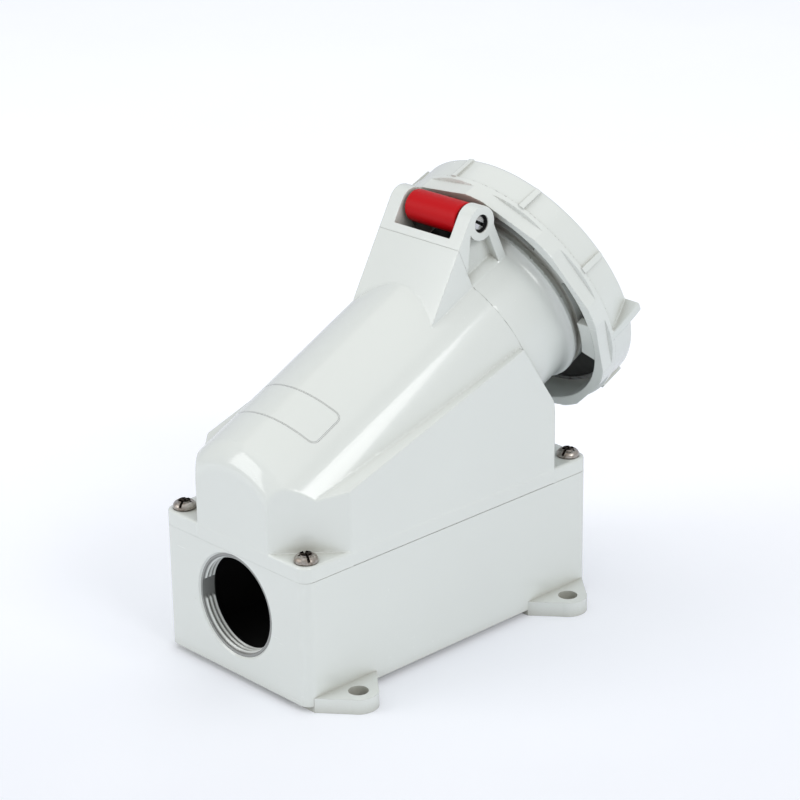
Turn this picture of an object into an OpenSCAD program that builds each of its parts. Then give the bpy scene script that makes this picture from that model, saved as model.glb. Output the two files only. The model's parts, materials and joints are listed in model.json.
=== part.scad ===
// Surface-mounted industrial socket outlet with an inclined barrel, a sprung lid and a
// bayonet locking ring. Millimetres. +Z stands out of the wall plate plane, +Y runs from the
// cable entry towards the socket mouth, and X = 0 is the middle plane of box, cover and barrel.
// Origin: middle of the mounting plane, under the centre of the back box.

/* [Back box] */
// Width of the back box across X
box_w = 100; // [98:1:108]
// Length of the back box along Y
box_l = 187.4; // [180:0.1:200]
// Height of the joint between back box and cover above the mounting plane
box_h = 65.2; // [62:0.1:75]
// Wall of the back box
box_wall = 4; // [3:0.5:5]
// Floor of the back box
box_floor = 4; // [3:0.5:6]
// Radius of the upright corners of the back box
box_corner_r = 5.5; // [4:0.5:8]
// Air gap under the back box between its feet
foot_h = 3; // [2:0.5:5]

/* [Fixing lugs] */
// Distance of a fixing hole outside the box side, across X
lug_reach = 8.5; // [8:0.1:12]
// Distance of a fixing hole from the box end, along Y
lug_inset = 23.2; // [22:0.1:30]
// Diameter of the fixing holes
fix_hole_d = 9.5; // [6:0.1:11]
// Radius of the rounded lug tip
lug_tip_r = 9.6; // [8:0.2:10]
// Length of a lug where it joins the box
lug_root = 39; // [30:1:42]
// Thickness of a lug
lug_t = 7.4; // [6:0.2:10]

/* [Cable entry] */
// Bore of the entry thread, at its crests
entry_bore_d = 48.4; // [38:0.1:50]
// Outer diameter of the entry lead-in
entry_lead_d = 52.4; // [50.5:0.1:53]
// Distance of the entry axis below the joint between back box and cover
entry_drop = 26.8; // [26.6:0.1:28]
// Length of the entry thread
entry_len = 8.5; // [7:0.5:18]

/* [Cover] */
// Thickness of the cover flange
flange_t = 7.7; // [6:0.1:10]
// Wall of the cover
cover_wall = 3.5; // [2.5:0.1:4]
// Slope of the arched back above the horizontal
back_slope = 26.3; // [25:0.1:28]
// Height of the side ledge at the entry face
ledge_h = 92.9; // [88:0.1:98]
// Slope of the side ledge
ledge_slope = 18.5; // [16:0.1:20]
// Half width of the entry face between its corner notches
entry_face_half = 25; // [20:0.5:28]
// Length of the front corner notches along Y
notch_l = 28.7; // [24:0.1:32]
// Depth of the rear shelf that carries the rear screws
shelf_l = 24; // [20:0.5:28]
// Height at which the leaning rear edge meets the upright rear wall
rear_edge_h = 107; // [102:1:112]
// Width of the label recess
label_w = 54; // [40:1:60]
// Length of the label recess
label_l = 19.5; // [15:0.5:25]
// Distance of the label recess centre behind the joint plane, along the back
label_back = 103; // [95:1:110]

/* [Cover screws] */
// Distance of a cover screw from the box side, across X
screw_side = 7; // [6.9:0.1:7.5]
// Distance of a cover screw from the box end, along Y
screw_end = 7.3; // [7.1:0.1:8]
// Shank diameter of the cover screws
screw_d = 6; // [5:0.5:6]
// Head diameter of the cover screws
screw_head_d = 11.4; // [9:0.1:12]
// Head height of the cover screws
screw_head_h = 3.6; // [3:0.1:4]

/* [Barrel] */
// Tilt of the barrel axis above the mounting plane
barrel_tilt = 24.6; // [22:0.1:27]
// Height on the barrel axis that its stations are measured from
axis_h = 110; // [108:0.5:114]
// Distance of that point of the axis from the rear end of the box
axis_inset = 93.7; // [93:0.1:94.5]
// Outer radius of the barrel
barrel_r = 47; // [45:0.5:49]
// Wall of the barrel
barrel_wall = 4; // [3:0.5:5]
// Station of the joint between cover and barrel, along the axis
joint_s = 57.8; // [54:0.2:60]
// Station of the collar behind the locking ring
collar_s = 89.3; // [88:0.1:91]
// Radius of the collar behind the locking ring
collar_r = 50.2; // [49:0.1:51.5]
// Station of the mouth of the barrel
mouth_s = 101.5; // [100.5:0.5:102]
// Station of the partition that carries the contacts
partition_s = 66; // [64:1:70]
// Thickness of the partition
partition_t = 4; // [3:0.5:5]

/* [Hinge] */
// Station of the hinge axis along the barrel
hinge_s = 75.7; // [75:0.1:76.5]
// Distance of the hinge axis from the barrel axis
hinge_u = 62.8; // [62:0.1:64]
// Radius of the ear tips
ear_r = 8.5; // [8:0.1:9]
// Outer width over both ears
ears_w = 54.2; // [52:0.2:58]
// Clear width between the ears
ears_gap = 37.4; // [35:0.2:39]
// Slope of the front face of the bracket against the barrel axis
bracket_slope = 36.3; // [33:0.1:40]
// Diameter of the hinge pin
pin_d = 6; // [5:0.5:6]

/* [Locking ring] */
// Station of the rear face of the ring
ring_s = 86.8; // [86:0.1:87.5]
// Length of the ring
ring_l = 24.4; // [23.5:0.1:26]
// Inner radius of the ring
ring_bore_r = 62.2; // [61.5:0.1:63]
// Outer radius of the rear band of the ring
ring_band_r = 67.7; // [67:0.1:69]
// Length of the rear band
ring_band_l = 9.7; // [9:0.1:11]
// Outer radius of the ribbed wall of the ring
ring_wall_r = 67; // [66.5:0.1:68]
// Number of places round the ring: two grip fins, and ribs at the rest
ring_places = 10; // [8:2:12]
// Angle of the first place, from +X towards the hinge
ring_phase = -11.5; // [-15:0.5:-8]
// Inner radius of the bayonet claws
claw_r = 53.2; // [52.5:0.1:55]
// Angle that a claw spans
claw_arc = 22; // [18:1:25]
// Length of a claw along the axis
claw_l = 4.5; // [4:0.1:5]
// Turn of the ring from open to locked
lock_turn = 45; // [40:1:50]

/* [Lid] */
// Length of the lid knuckle
knuckle_w = 34; // [32:0.5:35]
// Outer radius of the lid knuckle
knuckle_r = 8; // [7.5:0.1:8.2]
// Thickness of the lid flange
lid_flange_t = 3.1; // [2.8:0.1:3.5]
// Half width of the lid arm
arm_half = 13; // [10:0.5:14]
// Thickness of the lid arm
arm_t = 5.2; // [4:0.1:5.4]

/* [Contacts] */
// Radius of the circle of the five main contacts
contact_circle_r = 26; // [24:0.5:27]
// Outer radius of phase and neutral contacts
contact_r = 7; // [6.5:0.1:7.2]
// Bore radius of phase and neutral contacts
contact_bore_r = 5; // [4:0.1:5.2]
// Outer radius of the earth contact
earth_r = 8; // [7.5:0.1:8.2]
// Bore radius of the earth contact
earth_bore_r = 6; // [5:0.1:6.2]
// Outer radius of the pilot contact
pilot_r = 4; // [3.5:0.1:4.5]
// Bore radius of the pilot contact
pilot_bore_r = 3; // [2:0.1:3.2]
// Radius of the contact carrier
carrier_r = 36; // [35.2:0.1:36.5]
// Distance of the carrier face behind the mouth
carrier_back = 4.5; // [3:0.5:6]

/* [Hidden] */
$fn = 96;

slip = 0.05;                 // radial clearance of a pin or screw in its hole
run_gap = 0.3;               // gap between faces that move past each other
free_gap = 0.5;              // looser gap round a part that turns
over = 1;                    // how far a cut runs past the solid
big = 400;                   // size of a half space used to trim a form

grey = [0.80, 0.82, 0.80];
red = [0.78, 0.03, 0.03];
black = [0.10, 0.10, 0.11];
steel = [0.70, 0.70, 0.72];
brass = [0.80, 0.65, 0.30];
rubber = [0.15, 0.15, 0.15];

half_w = box_w / 2;
half_l = box_l / 2;
fix_x = box_w + 2 * lug_reach;
fix_y = box_l - 2 * lug_inset;
screw_x = box_w - 2 * screw_side;
screw_y = box_l - 2 * screw_end;
flange_top = box_h + flange_t;
rear_y = half_l - shelf_l;
entry_h = box_h - entry_drop;
axis_y = half_l - axis_inset;
barrel_bore_r = barrel_r - barrel_wall;
ring_front_s = ring_s + ring_l;
claw_s = ring_s + 1.2;
claw_seat = 1;               // depth that a claw is let into the bore of the ring
lug_grip = 3.7;              // how far a claw reaches behind a bayonet lug
lid_rear_s = mouth_s + 1.1;
lid_front_s = ring_front_s - 2.2;
lid_flange_r = ring_bore_r - 2 * run_gap;
lip_r = ring_bore_r - 5.2;
carrier_face_s = mouth_s - carrier_back;
carrier_foot_s = partition_s + partition_t;
carrier_split_s = carrier_foot_s + 12;
ear_rear_s = hinge_s + 6.8;
arm_top_u = hinge_u - 5.6;
main_angles = [for (k = [0 : 4]) -90 + 72 * k];

gasket_w = 1.6;              // width of the housing gasket
gasket_h = 2;                // height of the housing gasket in its groove
seal_r = 4;                  // outer radius of the rings that seal the cover screws
seal_h = 1.5;                // height of those rings
screw_bite = 22;             // length of a cover screw in the back box
earth_inset = 40;            // distance of the earth terminal from the rear end of the box
earth_pad_h = 3;             // height of the pad it stands on
earth_block_h = 8;           // height of the earth terminal
earth_screw_d = 4;           // diameter of its screw
front_screw_r = 38;          // radius of the circle of screws behind the barrel
front_screw_d = 4;           // diameter of those screws
front_ear_t = 4;             // thickness of the cover ears they pass through
front_ear_r = 5;             // radius of those ears
front_boss_r = 4.8;          // radius of the bosses they are driven into
joint_open_r = barrel_bore_r - 1;
face_seal_r = 43.9;          // inner radius of the face seal between barrel and cover
face_seal_w = 1.6;           // its width
face_seal_h = 1.2;           // its height
pin_sink_r = 4.4;            // radius of the counterbores at the ends of the hinge pin
pin_sink = 3;                // their depth
carrier_screw_r = 31;        // radius of the circle of carrier screws
carrier_screw_d = 4;         // diameter of those screws
carrier_screw_l = 10;        // depth of their holes in the foot plate
carrier_nose = 2.5;          // how far the contacts stand behind the face of the carrier
clamp_l = 20;                // length of a terminal clamp
clamp_w = 13;                // width of a terminal clamp
clamp_front_s = partition_s - 3;
spring_r = 4.7;              // mean radius of the torsion spring
spring_wire_r = 0.6;         // radius of its wire
spring_turns = 8;
spring_half = 10;            // half length of its coil
spring_steps = 16;           // points on each turn
spring_sides = 6;            // sides of the wire section
lid_seal_r = 42.5;           // inner radius of the lid seal
lid_seal_w = 6;              // its width
retainer_s = lid_rear_s - run_gap;
retainer_t = 1.3;            // thickness of the ring retainer
retainer_r = ring_bore_r + 1.2;

// Frame of the barrel: +Z along its axis to the mouth, +Y towards the hinge
module barrel_frame()
    translate([0, axis_y, axis_h]) rotate([barrel_tilt - 90, 0, 0]) rotate([0, 0, 180]) children();

// Turn in the barrel frame so that +X of the child points at an angle from +X towards the hinge
module at_angle(a) rotate([0, 0, 180 - a]) children();

// Extrude a profile drawn in the Y-Z plane to both sides of X = 0
module across(half) translate([-half, 0, 0]) rotate([90, 0, 90]) linear_extrude(2 * half) children();

module rounded_rect(w, l, r)
    union() {
        square([w - 2 * r, l], center = true);
        square([w, l - 2 * r], center = true);
        for (x = [-1, 1], y = [-1, 1]) translate([x * (w / 2 - r), y * (l / 2 - r)]) circle(r);
    }

module at_cover_screws()
    for (x = [-1, 1], y = [-1, 1]) translate([x * screw_x / 2, y * screw_y / 2, 0]) children();

module tube(r_out, r_in, s0, s1)
    translate([0, 0, s0]) difference() {
        cylinder(r = r_out, h = s1 - s0);
        translate([0, 0, -over]) cylinder(r = r_in, h = s1 - s0 + 2 * over);
    }

// ---- back box ----

module lug_outline() {
    tip = [fix_x / 2, fix_y / 2];
    root_lo = fix_y / 2 - lug_root / 2;
    root_hi = fix_y / 2 + lug_root / 2;
    // tangent points of the flanks on the rounded tip
    reach = fix_x / 2 - half_w;
    flank = asin(lug_tip_r / norm([reach, lug_root / 2])) + atan2(reach, lug_root / 2);
    circle_pt = (lug_tip_r - slip) * [sin(flank), cos(flank)];
    polygon([[half_w - box_wall / 2, root_lo], [half_w, root_lo],
             [tip[0] + circle_pt[0], tip[1] - circle_pt[1]], [tip[0] + circle_pt[0], tip[1] + circle_pt[1]],
             [half_w, root_hi], [half_w - box_wall / 2, root_hi]]);
    translate(tip) circle(lug_tip_r);
}

module back_box() {
    inner_w = box_w - 2 * box_wall;
    inner_l = box_l - 2 * box_wall;
    foot_w = 14;
    boss_r = 7.5;
    rib_t = 2.5;
    rib_h = 3;
    rib_short = 50;
    collar_t = 5;
    earth_y = half_l - earth_inset;
    floor_top = foot_h + box_floor;
    color(grey) difference() {
        union() {
            difference() {
                translate([0, 0, foot_h]) linear_extrude(box_h - foot_h)
                    rounded_rect(box_w, box_l, box_corner_r);
                translate([0, 0, floor_top]) linear_extrude(box_h)
                    rounded_rect(inner_w, inner_l, box_corner_r - box_wall / 2);
            }
            // feet that carry the lugs in under the floor
            for (x = [-1, 1], y = [-1, 1])
                translate([x * (half_w - foot_w / 2), y * fix_y / 2, (foot_h + box_floor / 2) / 2])
                    cube([foot_w, lug_root, foot_h + box_floor / 2], center = true);
            for (x = [0, 1], y = [0, 1]) mirror([x, 0, 0]) mirror([0, y, 0])
                linear_extrude(lug_t) lug_outline();
            // screw bosses and the collar of the cable entry
            intersection() {
                at_cover_screws() translate([0, 0, foot_h + box_floor / 2])
                    cylinder(r = boss_r, h = box_h - foot_h - box_floor / 2);
                linear_extrude(box_h) rounded_rect(box_w, box_l, box_corner_r);
            }
            intersection() {
                translate([0, -half_l + box_wall / 2, entry_h]) rotate([-90, 0, 0])
                    cylinder(r = entry_bore_d / 2 + collar_t, h = entry_len - box_wall / 2);
                translate([0, 0, box_h / 2]) cube([box_w, box_l, box_h], center = true);
            }
            // stiffening ribs along the floor
            for (x = [-1, 1]) translate([x * half_w / 2, rib_short / 4, floor_top])
                cube([rib_t, inner_l - rib_short, 2 * rib_h], center = true);
            // pad under the earth terminal
            translate([0, earth_y, floor_top]) cylinder(r = 11, h = 2 * earth_pad_h, center = true);
        }
        // entry bore with its lead-in
        translate([0, -half_l - over, entry_h]) rotate([-90, 0, 0])
            cylinder(d = entry_bore_d, h = entry_len + 2 * over);
        translate([0, -half_l, entry_h]) rotate([-90, 0, 0])
            cylinder(d1 = entry_lead_d, d2 = entry_bore_d, h = (entry_lead_d - entry_bore_d) / 2);
        for (x = [-1, 1], y = [-1, 1]) translate([x * fix_x / 2, y * fix_y / 2, -over])
            cylinder(d = fix_hole_d, h = lug_t + 2 * over);
        at_cover_screws() translate([0, 0, box_h - screw_bite - 4])
            cylinder(d = screw_d + 2 * slip, h = screw_bite + 4 + over);
        translate([0, earth_y, floor_top - box_floor / 2])
            cylinder(d = earth_screw_d + 2 * slip, h = box_floor / 2 + earth_pad_h + over);
    }
}

// Line of the housing gasket, along the middle of the box wall
module gasket_line() difference() {
    rounded_rect(box_w - box_wall + gasket_w, box_l - box_wall + gasket_w, box_corner_r - 1);
    rounded_rect(box_w - box_wall - gasket_w, box_l - box_wall - gasket_w, box_corner_r - 2);
}

module housing_gasket() color(rubber) translate([0, 0, box_h]) linear_extrude(gasket_h) gasket_line();

// ---- cover ----

// Middle of the barrel joint, with +Z of the child down the arched back of the cover
module at_joint()
    translate([0, axis_y + joint_s * cos(barrel_tilt), axis_h + joint_s * sin(barrel_tilt)])
        rotate([90 + back_slope, 0, 0]) children();

// Side profile of the cover in the Y-Z plane, drawn in by an inset
module cover_side(inset, base) {
    t = tan(ledge_slope);
    front = -half_l + inset;
    rear = rear_y - inset;
    ledge = ledge_h - inset / cos(ledge_slope);
    js = joint_s - inset;
    apex_y = (js + axis_y * cos(barrel_tilt) - (ledge + t * half_l - axis_h) * sin(barrel_tilt))
             / (cos(barrel_tilt) + t * sin(barrel_tilt));
    polygon([[front, base], [front, ledge + t * (front + half_l)],
             [apex_y, ledge + t * (apex_y + half_l)], [rear, rear_edge_h - inset], [rear, base]]);
}

// Outer form of the cover above the flange, drawn in by an inset
module cover_form(inset, base) {
    difference() {
        union() {
            across(half_w - inset) cover_side(inset, base);
            intersection() {
                at_joint() translate([0, 0, -big / 8]) cylinder(r = barrel_r - inset, h = big);
                translate([-big / 2, -half_l + inset, base]) cube([big, big, big]);
                barrel_frame() translate([-big / 2, -big / 2, joint_s - big]) cube(big);
            }
        }
        // corner notches beside the entry face
        for (x = [0, 1]) mirror([x, 0, 0]) notch(inset, base);
    }
}

// Corner notch that clears a front cover screw
module notch(inset, base) {
    run = half_w - entry_face_half;
    slope = atan2(notch_l, run);
    translate([entry_face_half - inset / sin(slope), -half_l, base - over]) rotate([0, 0, slope])
        translate([-big / 4, -big, 0]) cube([big, big, big]);
}

// Bracket that carries the hinge: a wedge on top of cover and barrel, in the barrel frame
module bracket_side() {
    along = [sin(bracket_slope), cos(bracket_slope)];
    out = [cos(bracket_slope), -sin(bracket_slope)];
    hinge = [hinge_u, hinge_s];
    top = hinge + (ear_r - slip) * out;
    foot = top - 60 * along;
    intersection() {
        union() {
            polygon([top, foot, [foot[0], ear_rear_s], [hinge_u, ear_rear_s], hinge]);
            translate(hinge) circle(ear_r);
        }
        translate([0, -big + ear_rear_s]) square(big);
    }
}

// Room for knuckle and spring between the ears, outside the barrel
module bracket_pocket() {
    wall = 3;
    window = 11.7;
    difference() {
        across(ears_gap / 2) translate([hinge_u, hinge_s]) rotate(-bracket_slope) union() {
            translate([-big / 4, -big / 4]) square([big / 4 + ear_r - wall, big / 2]);
            translate([-big / 4, -window]) square([big / 2, big / 4]);
        }
        cylinder(r = barrel_r, h = big);
    }
}

module bracket_body() difference() {
    across(ears_w / 2) bracket_side();
    bracket_pocket();
}

module front_screw_places()
    for (a = [45 : 90 : 315]) at_angle(a) translate([front_screw_r, 0, 0]) children();

// Ears or bosses at the front screws, run out to the wall beside them
module front_ears(r, h) front_screw_places() union() {
    cylinder(r = r, h = h);
    translate([0, -r, 0]) cube([10, 2 * r, h]);
}

module cover_housing() {
    color(grey) difference() {
        union() {
            translate([0, 0, box_h]) linear_extrude(flange_t) rounded_rect(box_w, box_l, box_corner_r);
            difference() {
                union() {
                    cover_form(0, box_h + flange_t / 2);
                    intersection() {
                        barrel_frame() bracket_body();
                        barrel_frame() translate([-big / 2, -big / 2, joint_s - big]) cube(big);
                    }
                }
                // bare label recess on the arched back
                label_recess();
            }
        }
        difference() {
            cover_form(cover_wall, box_h - over);
            // ears that the barrel is screwed to
            barrel_frame() translate([0, 0, joint_s - front_ear_t])
                front_ears(front_ear_r, front_ear_t + over);
        }
        // the barrel passes through the leaning rear wall
        barrel_frame() translate([0, 0, joint_s]) cylinder(r = barrel_r + slip, h = big);
        barrel_frame() translate([0, 0, joint_s - cover_wall - over])
            intersection() {
                cylinder(r = joint_open_r, h = cover_wall + 2 * over);
                difference() {
                    cylinder(r = big, h = big);
                    translate([0, 0, -over]) front_ears(front_ear_r, big);
                }
            }
        barrel_frame() front_screw_places() translate([0, 0, joint_s - front_ear_t - over])
            cylinder(d = front_screw_d + free_gap, h = front_ear_t + 2 * over);
        at_cover_screws() translate([0, 0, box_h - over])
            cylinder(d = screw_d + free_gap, h = flange_t + 2 * over);
        at_cover_screws() translate([0, 0, box_h - over]) cylinder(r = seal_r + slip, h = seal_h + over);
        translate([0, 0, box_h - over]) linear_extrude(gasket_h + over) gasket_line();
    }
}

module label_recess() {
    depth = 0.5;
    at_joint() translate([0, 0, label_back]) intersection() {
        difference() {
            cylinder(r = barrel_r + over, h = label_l, center = true);
            cylinder(r = barrel_r - depth, h = label_l + over, center = true);
        }
        translate([0, barrel_r, 0]) cube([label_w, barrel_r, label_l], center = true);
    }
}

module screw_seals()
    color(rubber) at_cover_screws() tube(seal_r, screw_d / 2 + slip, box_h, box_h + seal_h);

// Pan head screw pointing down, its head seat at z = 0
module pan_screw(d, head_d, head_h, len) {
    slot_w = head_d / 9;
    difference() {
        union() {
            translate([0, 0, -len]) cylinder(d = d, h = len);
            rotate_extrude() polygon([[0, 0], [head_d / 2, 0], [head_d / 2, head_h * 0.45],
                [head_d * 0.44, head_h * 0.75], [head_d * 0.32, head_h * 0.94], [0, head_h]]);
        }
        // cross recess with one arm run out to a full slot
        for (a = [0, 90]) rotate(a) translate([0, 0, head_h])
            cube([a == 0 ? head_d + over : head_d * 0.55, slot_w, head_h], center = true);
    }
}

module cover_screws()
    color(steel) at_cover_screws() translate([0, 0, flange_top]) rotate(35)
        pan_screw(screw_d, screw_head_d, screw_head_h, flange_t + screw_bite);

// ---- barrel ----

// Sector of a ring in the barrel frame, centred on an angle
module ring_sector(r0, r1, s0, s1, mid, arc)
    at_angle(mid + arc / 2) rotate_extrude(angle = arc) translate([r0, s0]) square([r1 - r0, s1 - s0]);

module socket_front() {
    flare = collar_r - barrel_r;
    collar_t = 2;
    color(grey) barrel_frame() difference() {
        union() {
            rotate_extrude() polygon([[0, joint_s], [barrel_r, joint_s],
                [barrel_r, collar_s - collar_t - 2 * flare],
                [barrel_r + flare * 0.3, collar_s - collar_t - flare], [collar_r, collar_s - collar_t],
                [collar_r, collar_s], [barrel_r, collar_s + 0.6], [barrel_r, mouth_s - 1],
                [barrel_r - 1, mouth_s], [0, mouth_s]]);
            intersection() {
                bracket_body();
                translate([-big / 2, -big / 2, joint_s]) cube(big);
            }
        }
        // open room behind the partition, less the screw bosses
        difference() {
            translate([0, 0, joint_s - over]) cylinder(r = barrel_bore_r, h = partition_s - joint_s + over);
            translate([0, 0, joint_s]) front_ears(front_boss_r, big);
        }
        // plug room in front of the partition
        translate([0, 0, carrier_foot_s]) cylinder(r = barrel_bore_r, h = big);
        for (a = main_angles) at_angle(a) translate([contact_circle_r, 0, partition_s - over])
            cylinder(r = earth_r + free_gap, h = partition_t + 2 * over);
        translate([0, 0, partition_s - over]) cylinder(r = pilot_r + free_gap, h = partition_t + 2 * over);
        carrier_screw_places() translate([0, 0, partition_s - over])
            cylinder(d = carrier_screw_d + free_gap, h = partition_t + 2 * over);
        front_screw_places() translate([0, 0, joint_s - over])
            cylinder(d = front_screw_d + 2 * slip, h = 9);
        // groove of the face seal
        tube(face_seal_r + face_seal_w, face_seal_r, joint_s - over, joint_s + face_seal_h);
        // hinge bores and their counterbores
        at_hinge() cylinder(d = pin_d + 2 * slip, h = ears_w + 2 * over, center = true);
        for (x = [-1, 1]) at_hinge() translate([0, 0, x * ears_w / 2])
            cylinder(r = pin_sink_r, h = 2 * pin_sink, center = true);
        for (x = [0, 1]) mirror([x, 0, 0]) ear_recess();
    }
}

// Band pressed on the barrel, with the lugs that the claws of the locking ring hook behind
module bayonet_band() {
    band_s = claw_s + claw_l + run_gap;
    band_l = 4;
    band_t = 2.2;
    lug_r = claw_r + lug_grip;
    color(grey) barrel_frame() union() {
        tube(barrel_r + band_t, barrel_r + slip, band_s, band_s + band_l);
        for (k = [0, 180]) ring_sector(barrel_r + band_t / 2, lug_r, band_s + slip, band_s + band_l - slip,
                                       ring_phase + lock_turn + k, claw_arc + 2);
    }
}

// In the barrel frame: +Z of the child lies along the hinge axis
module at_hinge() translate([0, hinge_u, hinge_s]) rotate([0, 90, 0]) children();

// Sunk panel on the outside of an ear, between its two edge ribs and under the pin boss
module ear_recess() {
    panel = 5;
    rear_rib = 5.2;
    translate([ears_w / 2 - panel, 0, 0]) rotate([90, 0, 90]) linear_extrude(panel + over) difference() {
        polygon([[hinge_u - 5.6, hinge_s - 11], [hinge_u - 17.3, joint_s], [barrel_bore_r - 12, joint_s],
                 [barrel_bore_r - 12, ear_rear_s - rear_rib], [hinge_u, ear_rear_s - rear_rib]]);
        translate([hinge_u, hinge_s]) circle(ear_r);
        barrel_keep();
    }
}

// Keeps the barrel wall under the recess whole
module barrel_keep() {
    depth_x = ears_w / 2 - 5;
    translate([-big, -big / 2]) square([big + sqrt(pow(barrel_r, 2) - pow(depth_x, 2)), big]);
}

module front_seal()
    color(rubber) barrel_frame()
        tube(face_seal_r + face_seal_w - slip, face_seal_r + slip, joint_s, joint_s + face_seal_h);

module front_screws()
    color(steel) barrel_frame() front_screw_places() translate([0, 0, joint_s - front_ear_t])
        mirror([0, 0, 1]) pan_screw(front_screw_d, 7, 2.4, front_ear_t + 7);

module carrier_screw_places()
    for (a = [-54, 90, 234]) at_angle(a) translate([carrier_screw_r, 0, 0]) children();

// Bores for the six contacts through the carrier, from one station up
module contact_rooms(s0) {
    for (a = main_angles) at_angle(a) translate([contact_circle_r, 0, s0 - over])
        cylinder(r = (a == main_angles[0] ? earth_r : contact_r) + slip, h = big);
    translate([0, 0, s0 - over]) cylinder(r = pilot_r + slip, h = big);
}

// Front block of the contact carrier, with a keyway beside the earth contact
module contact_carrier()
    color(black) barrel_frame() difference() {
        rotate_extrude() polygon([[0, carrier_split_s], [carrier_r, carrier_split_s],
            [carrier_r, carrier_face_s - 1], [carrier_r - 1, carrier_face_s], [0, carrier_face_s]]);
        contact_rooms(carrier_split_s);
        at_angle(-90) translate([carrier_r, 0, carrier_split_s + big / 2 + 3])
            cube([5, 7, big], center = true);
    }

// Foot plate of the carrier, screwed to the partition of the barrel
module carrier_foot()
    color(black) barrel_frame() difference() {
        translate([0, 0, carrier_foot_s]) cylinder(r = carrier_r, h = carrier_split_s - carrier_foot_s);
        contact_rooms(carrier_foot_s);
        carrier_screw_places() translate([0, 0, carrier_foot_s - over])
            cylinder(d = carrier_screw_d + 2 * slip, h = carrier_screw_l + over);
    }

module carrier_screws()
    color(steel) barrel_frame() carrier_screw_places() translate([0, 0, partition_s])
        mirror([0, 0, 1]) pan_screw(carrier_screw_d, 7, 2.4, partition_t + carrier_screw_l - over);

// Sleeve contact: bored from the front, with a stub behind for its terminal
module sleeve_contact(r_out, r_bore) {
    front = carrier_face_s - carrier_nose;
    stub_r = 4;
    difference() {
        union() {
            translate([0, 0, partition_s - 2]) cylinder(r = r_out, h = front - partition_s + 2);
            translate([0, 0, partition_s - 10]) cylinder(r = min(stub_r, r_out), h = 9);
        }
        translate([0, 0, carrier_foot_s]) cylinder(r = r_bore, h = big);
    }
}

module phase_contacts()
    color(brass) barrel_frame() for (k = [1, 2, 3]) at_angle(main_angles[k])
        translate([contact_circle_r, 0, 0]) sleeve_contact(contact_r, contact_bore_r);

module neutral_contact()
    color(brass) barrel_frame() at_angle(main_angles[4])
        translate([contact_circle_r, 0, 0]) sleeve_contact(contact_r, contact_bore_r);

module earth_contact()
    color(brass) barrel_frame() at_angle(main_angles[0])
        translate([contact_circle_r, 0, 0]) sleeve_contact(earth_r, earth_bore_r);

module pilot_contact() color(brass) barrel_frame() sleeve_contact(pilot_r, pilot_bore_r);

module terminal_clamps()
    color(brass) barrel_frame() for (a = main_angles) at_angle(a)
        translate([contact_circle_r, 0, clamp_front_s]) difference() {
            translate([0, 0, -clamp_l / 2]) cube([clamp_w, clamp_w, clamp_l], center = true);
            translate([0, 0, -7.5]) cylinder(r = 4 + slip, h = 10);
            translate([0, 0, -13]) rotate([90, 0, 0]) cylinder(r = 4, h = clamp_w + 2 * over, center = true);
            translate([0, 0, -clamp_l - over]) cylinder(d = 5 + 2 * slip, h = 8);
        }

module terminal_screws()
    color(steel) barrel_frame() for (a = main_angles) at_angle(a)
        translate([contact_circle_r, 0, clamp_front_s - clamp_l]) mirror([0, 0, 1]) pan_screw(5, 8, 2.6, 5);

// ---- earth terminal in the back box ----

// Top of the earth pad
module at_earth()
    translate([0, half_l - earth_inset, foot_h + box_floor + earth_pad_h]) children();

module earth_terminal()
    color(brass) at_earth() difference() {
        translate([0, 0, earth_block_h / 2]) cube([20, 12, earth_block_h], center = true);
        translate([0, 0, -over]) cylinder(d = earth_screw_d + free_gap, h = earth_block_h + 2 * over);
        for (x = [-6.5, 6.5]) translate([x, 0, earth_block_h / 2]) rotate([90, 0, 0])
            cylinder(r = 2.2, h = 20, center = true);
    }

module earth_screw()
    color(steel) at_earth() translate([0, 0, earth_block_h])
        pan_screw(earth_screw_d, 7.5, 2.6, earth_block_h + earth_pad_h + over);

// ---- hinge ----

pin_clip_x = -ears_w / 2 + pin_sink;

module hinge_pin() {
    head_h = 2;
    tail = 1.9;
    color(steel) barrel_frame() translate([0, hinge_u, hinge_s]) rotate([0, -90, 0]) difference() {
        union() {
            translate([0, 0, -ears_w / 2 + pin_sink]) cylinder(d = pin_d, h = ears_w - 2 * pin_sink + tail);
            rotate_extrude() translate([0, -ears_w / 2 + pin_sink]) polygon([[0, 0],
                [pin_sink_r - 0.5, 0], [pin_sink_r - 0.5, -head_h * 0.4], [pin_sink_r * 0.6, -head_h * 0.85],
                [0, -head_h]]);
        }
        translate([0, 0, -ears_w / 2 + pin_sink - head_h]) rotate(30)
            cube([pin_sink_r * 3, 1, 2], center = true);
        translate([0, 0, ears_w / 2 - pin_sink]) tube(pin_d, pin_d / 2 - 0.4, 0, 0.8);
    }
}

module pin_clip()
    color(steel) barrel_frame() translate([0, hinge_u, hinge_s]) rotate([0, -90, 0]) difference() {
        tube(pin_sink_r - 0.2, pin_d / 2 - 0.35, ears_w / 2 - pin_sink + slip, ears_w / 2 - pin_sink + 0.75);
        translate([0, -4, ears_w / 2 - pin_sink]) cube([1.6, 6, 4], center = true);
    }

// Path of the spring in (x, u, s): a leg down to the barrel, the coil, and a leg along the arm
function spring_path() = concat(
    [[-spring_half, barrel_r + 2 * spring_wire_r, hinge_s - spring_r],
     [-spring_half, hinge_u - spring_r, hinge_s - spring_r]],
    [for (i = [0 : spring_turns * spring_steps + spring_steps / 4])
        let (a = 180 - 360 * i / spring_steps)
        [-spring_half + 2 * spring_half * i / (spring_turns * spring_steps + spring_steps / 4),
         hinge_u + spring_r * sin(a), hinge_s + spring_r * cos(a)]]);

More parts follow.
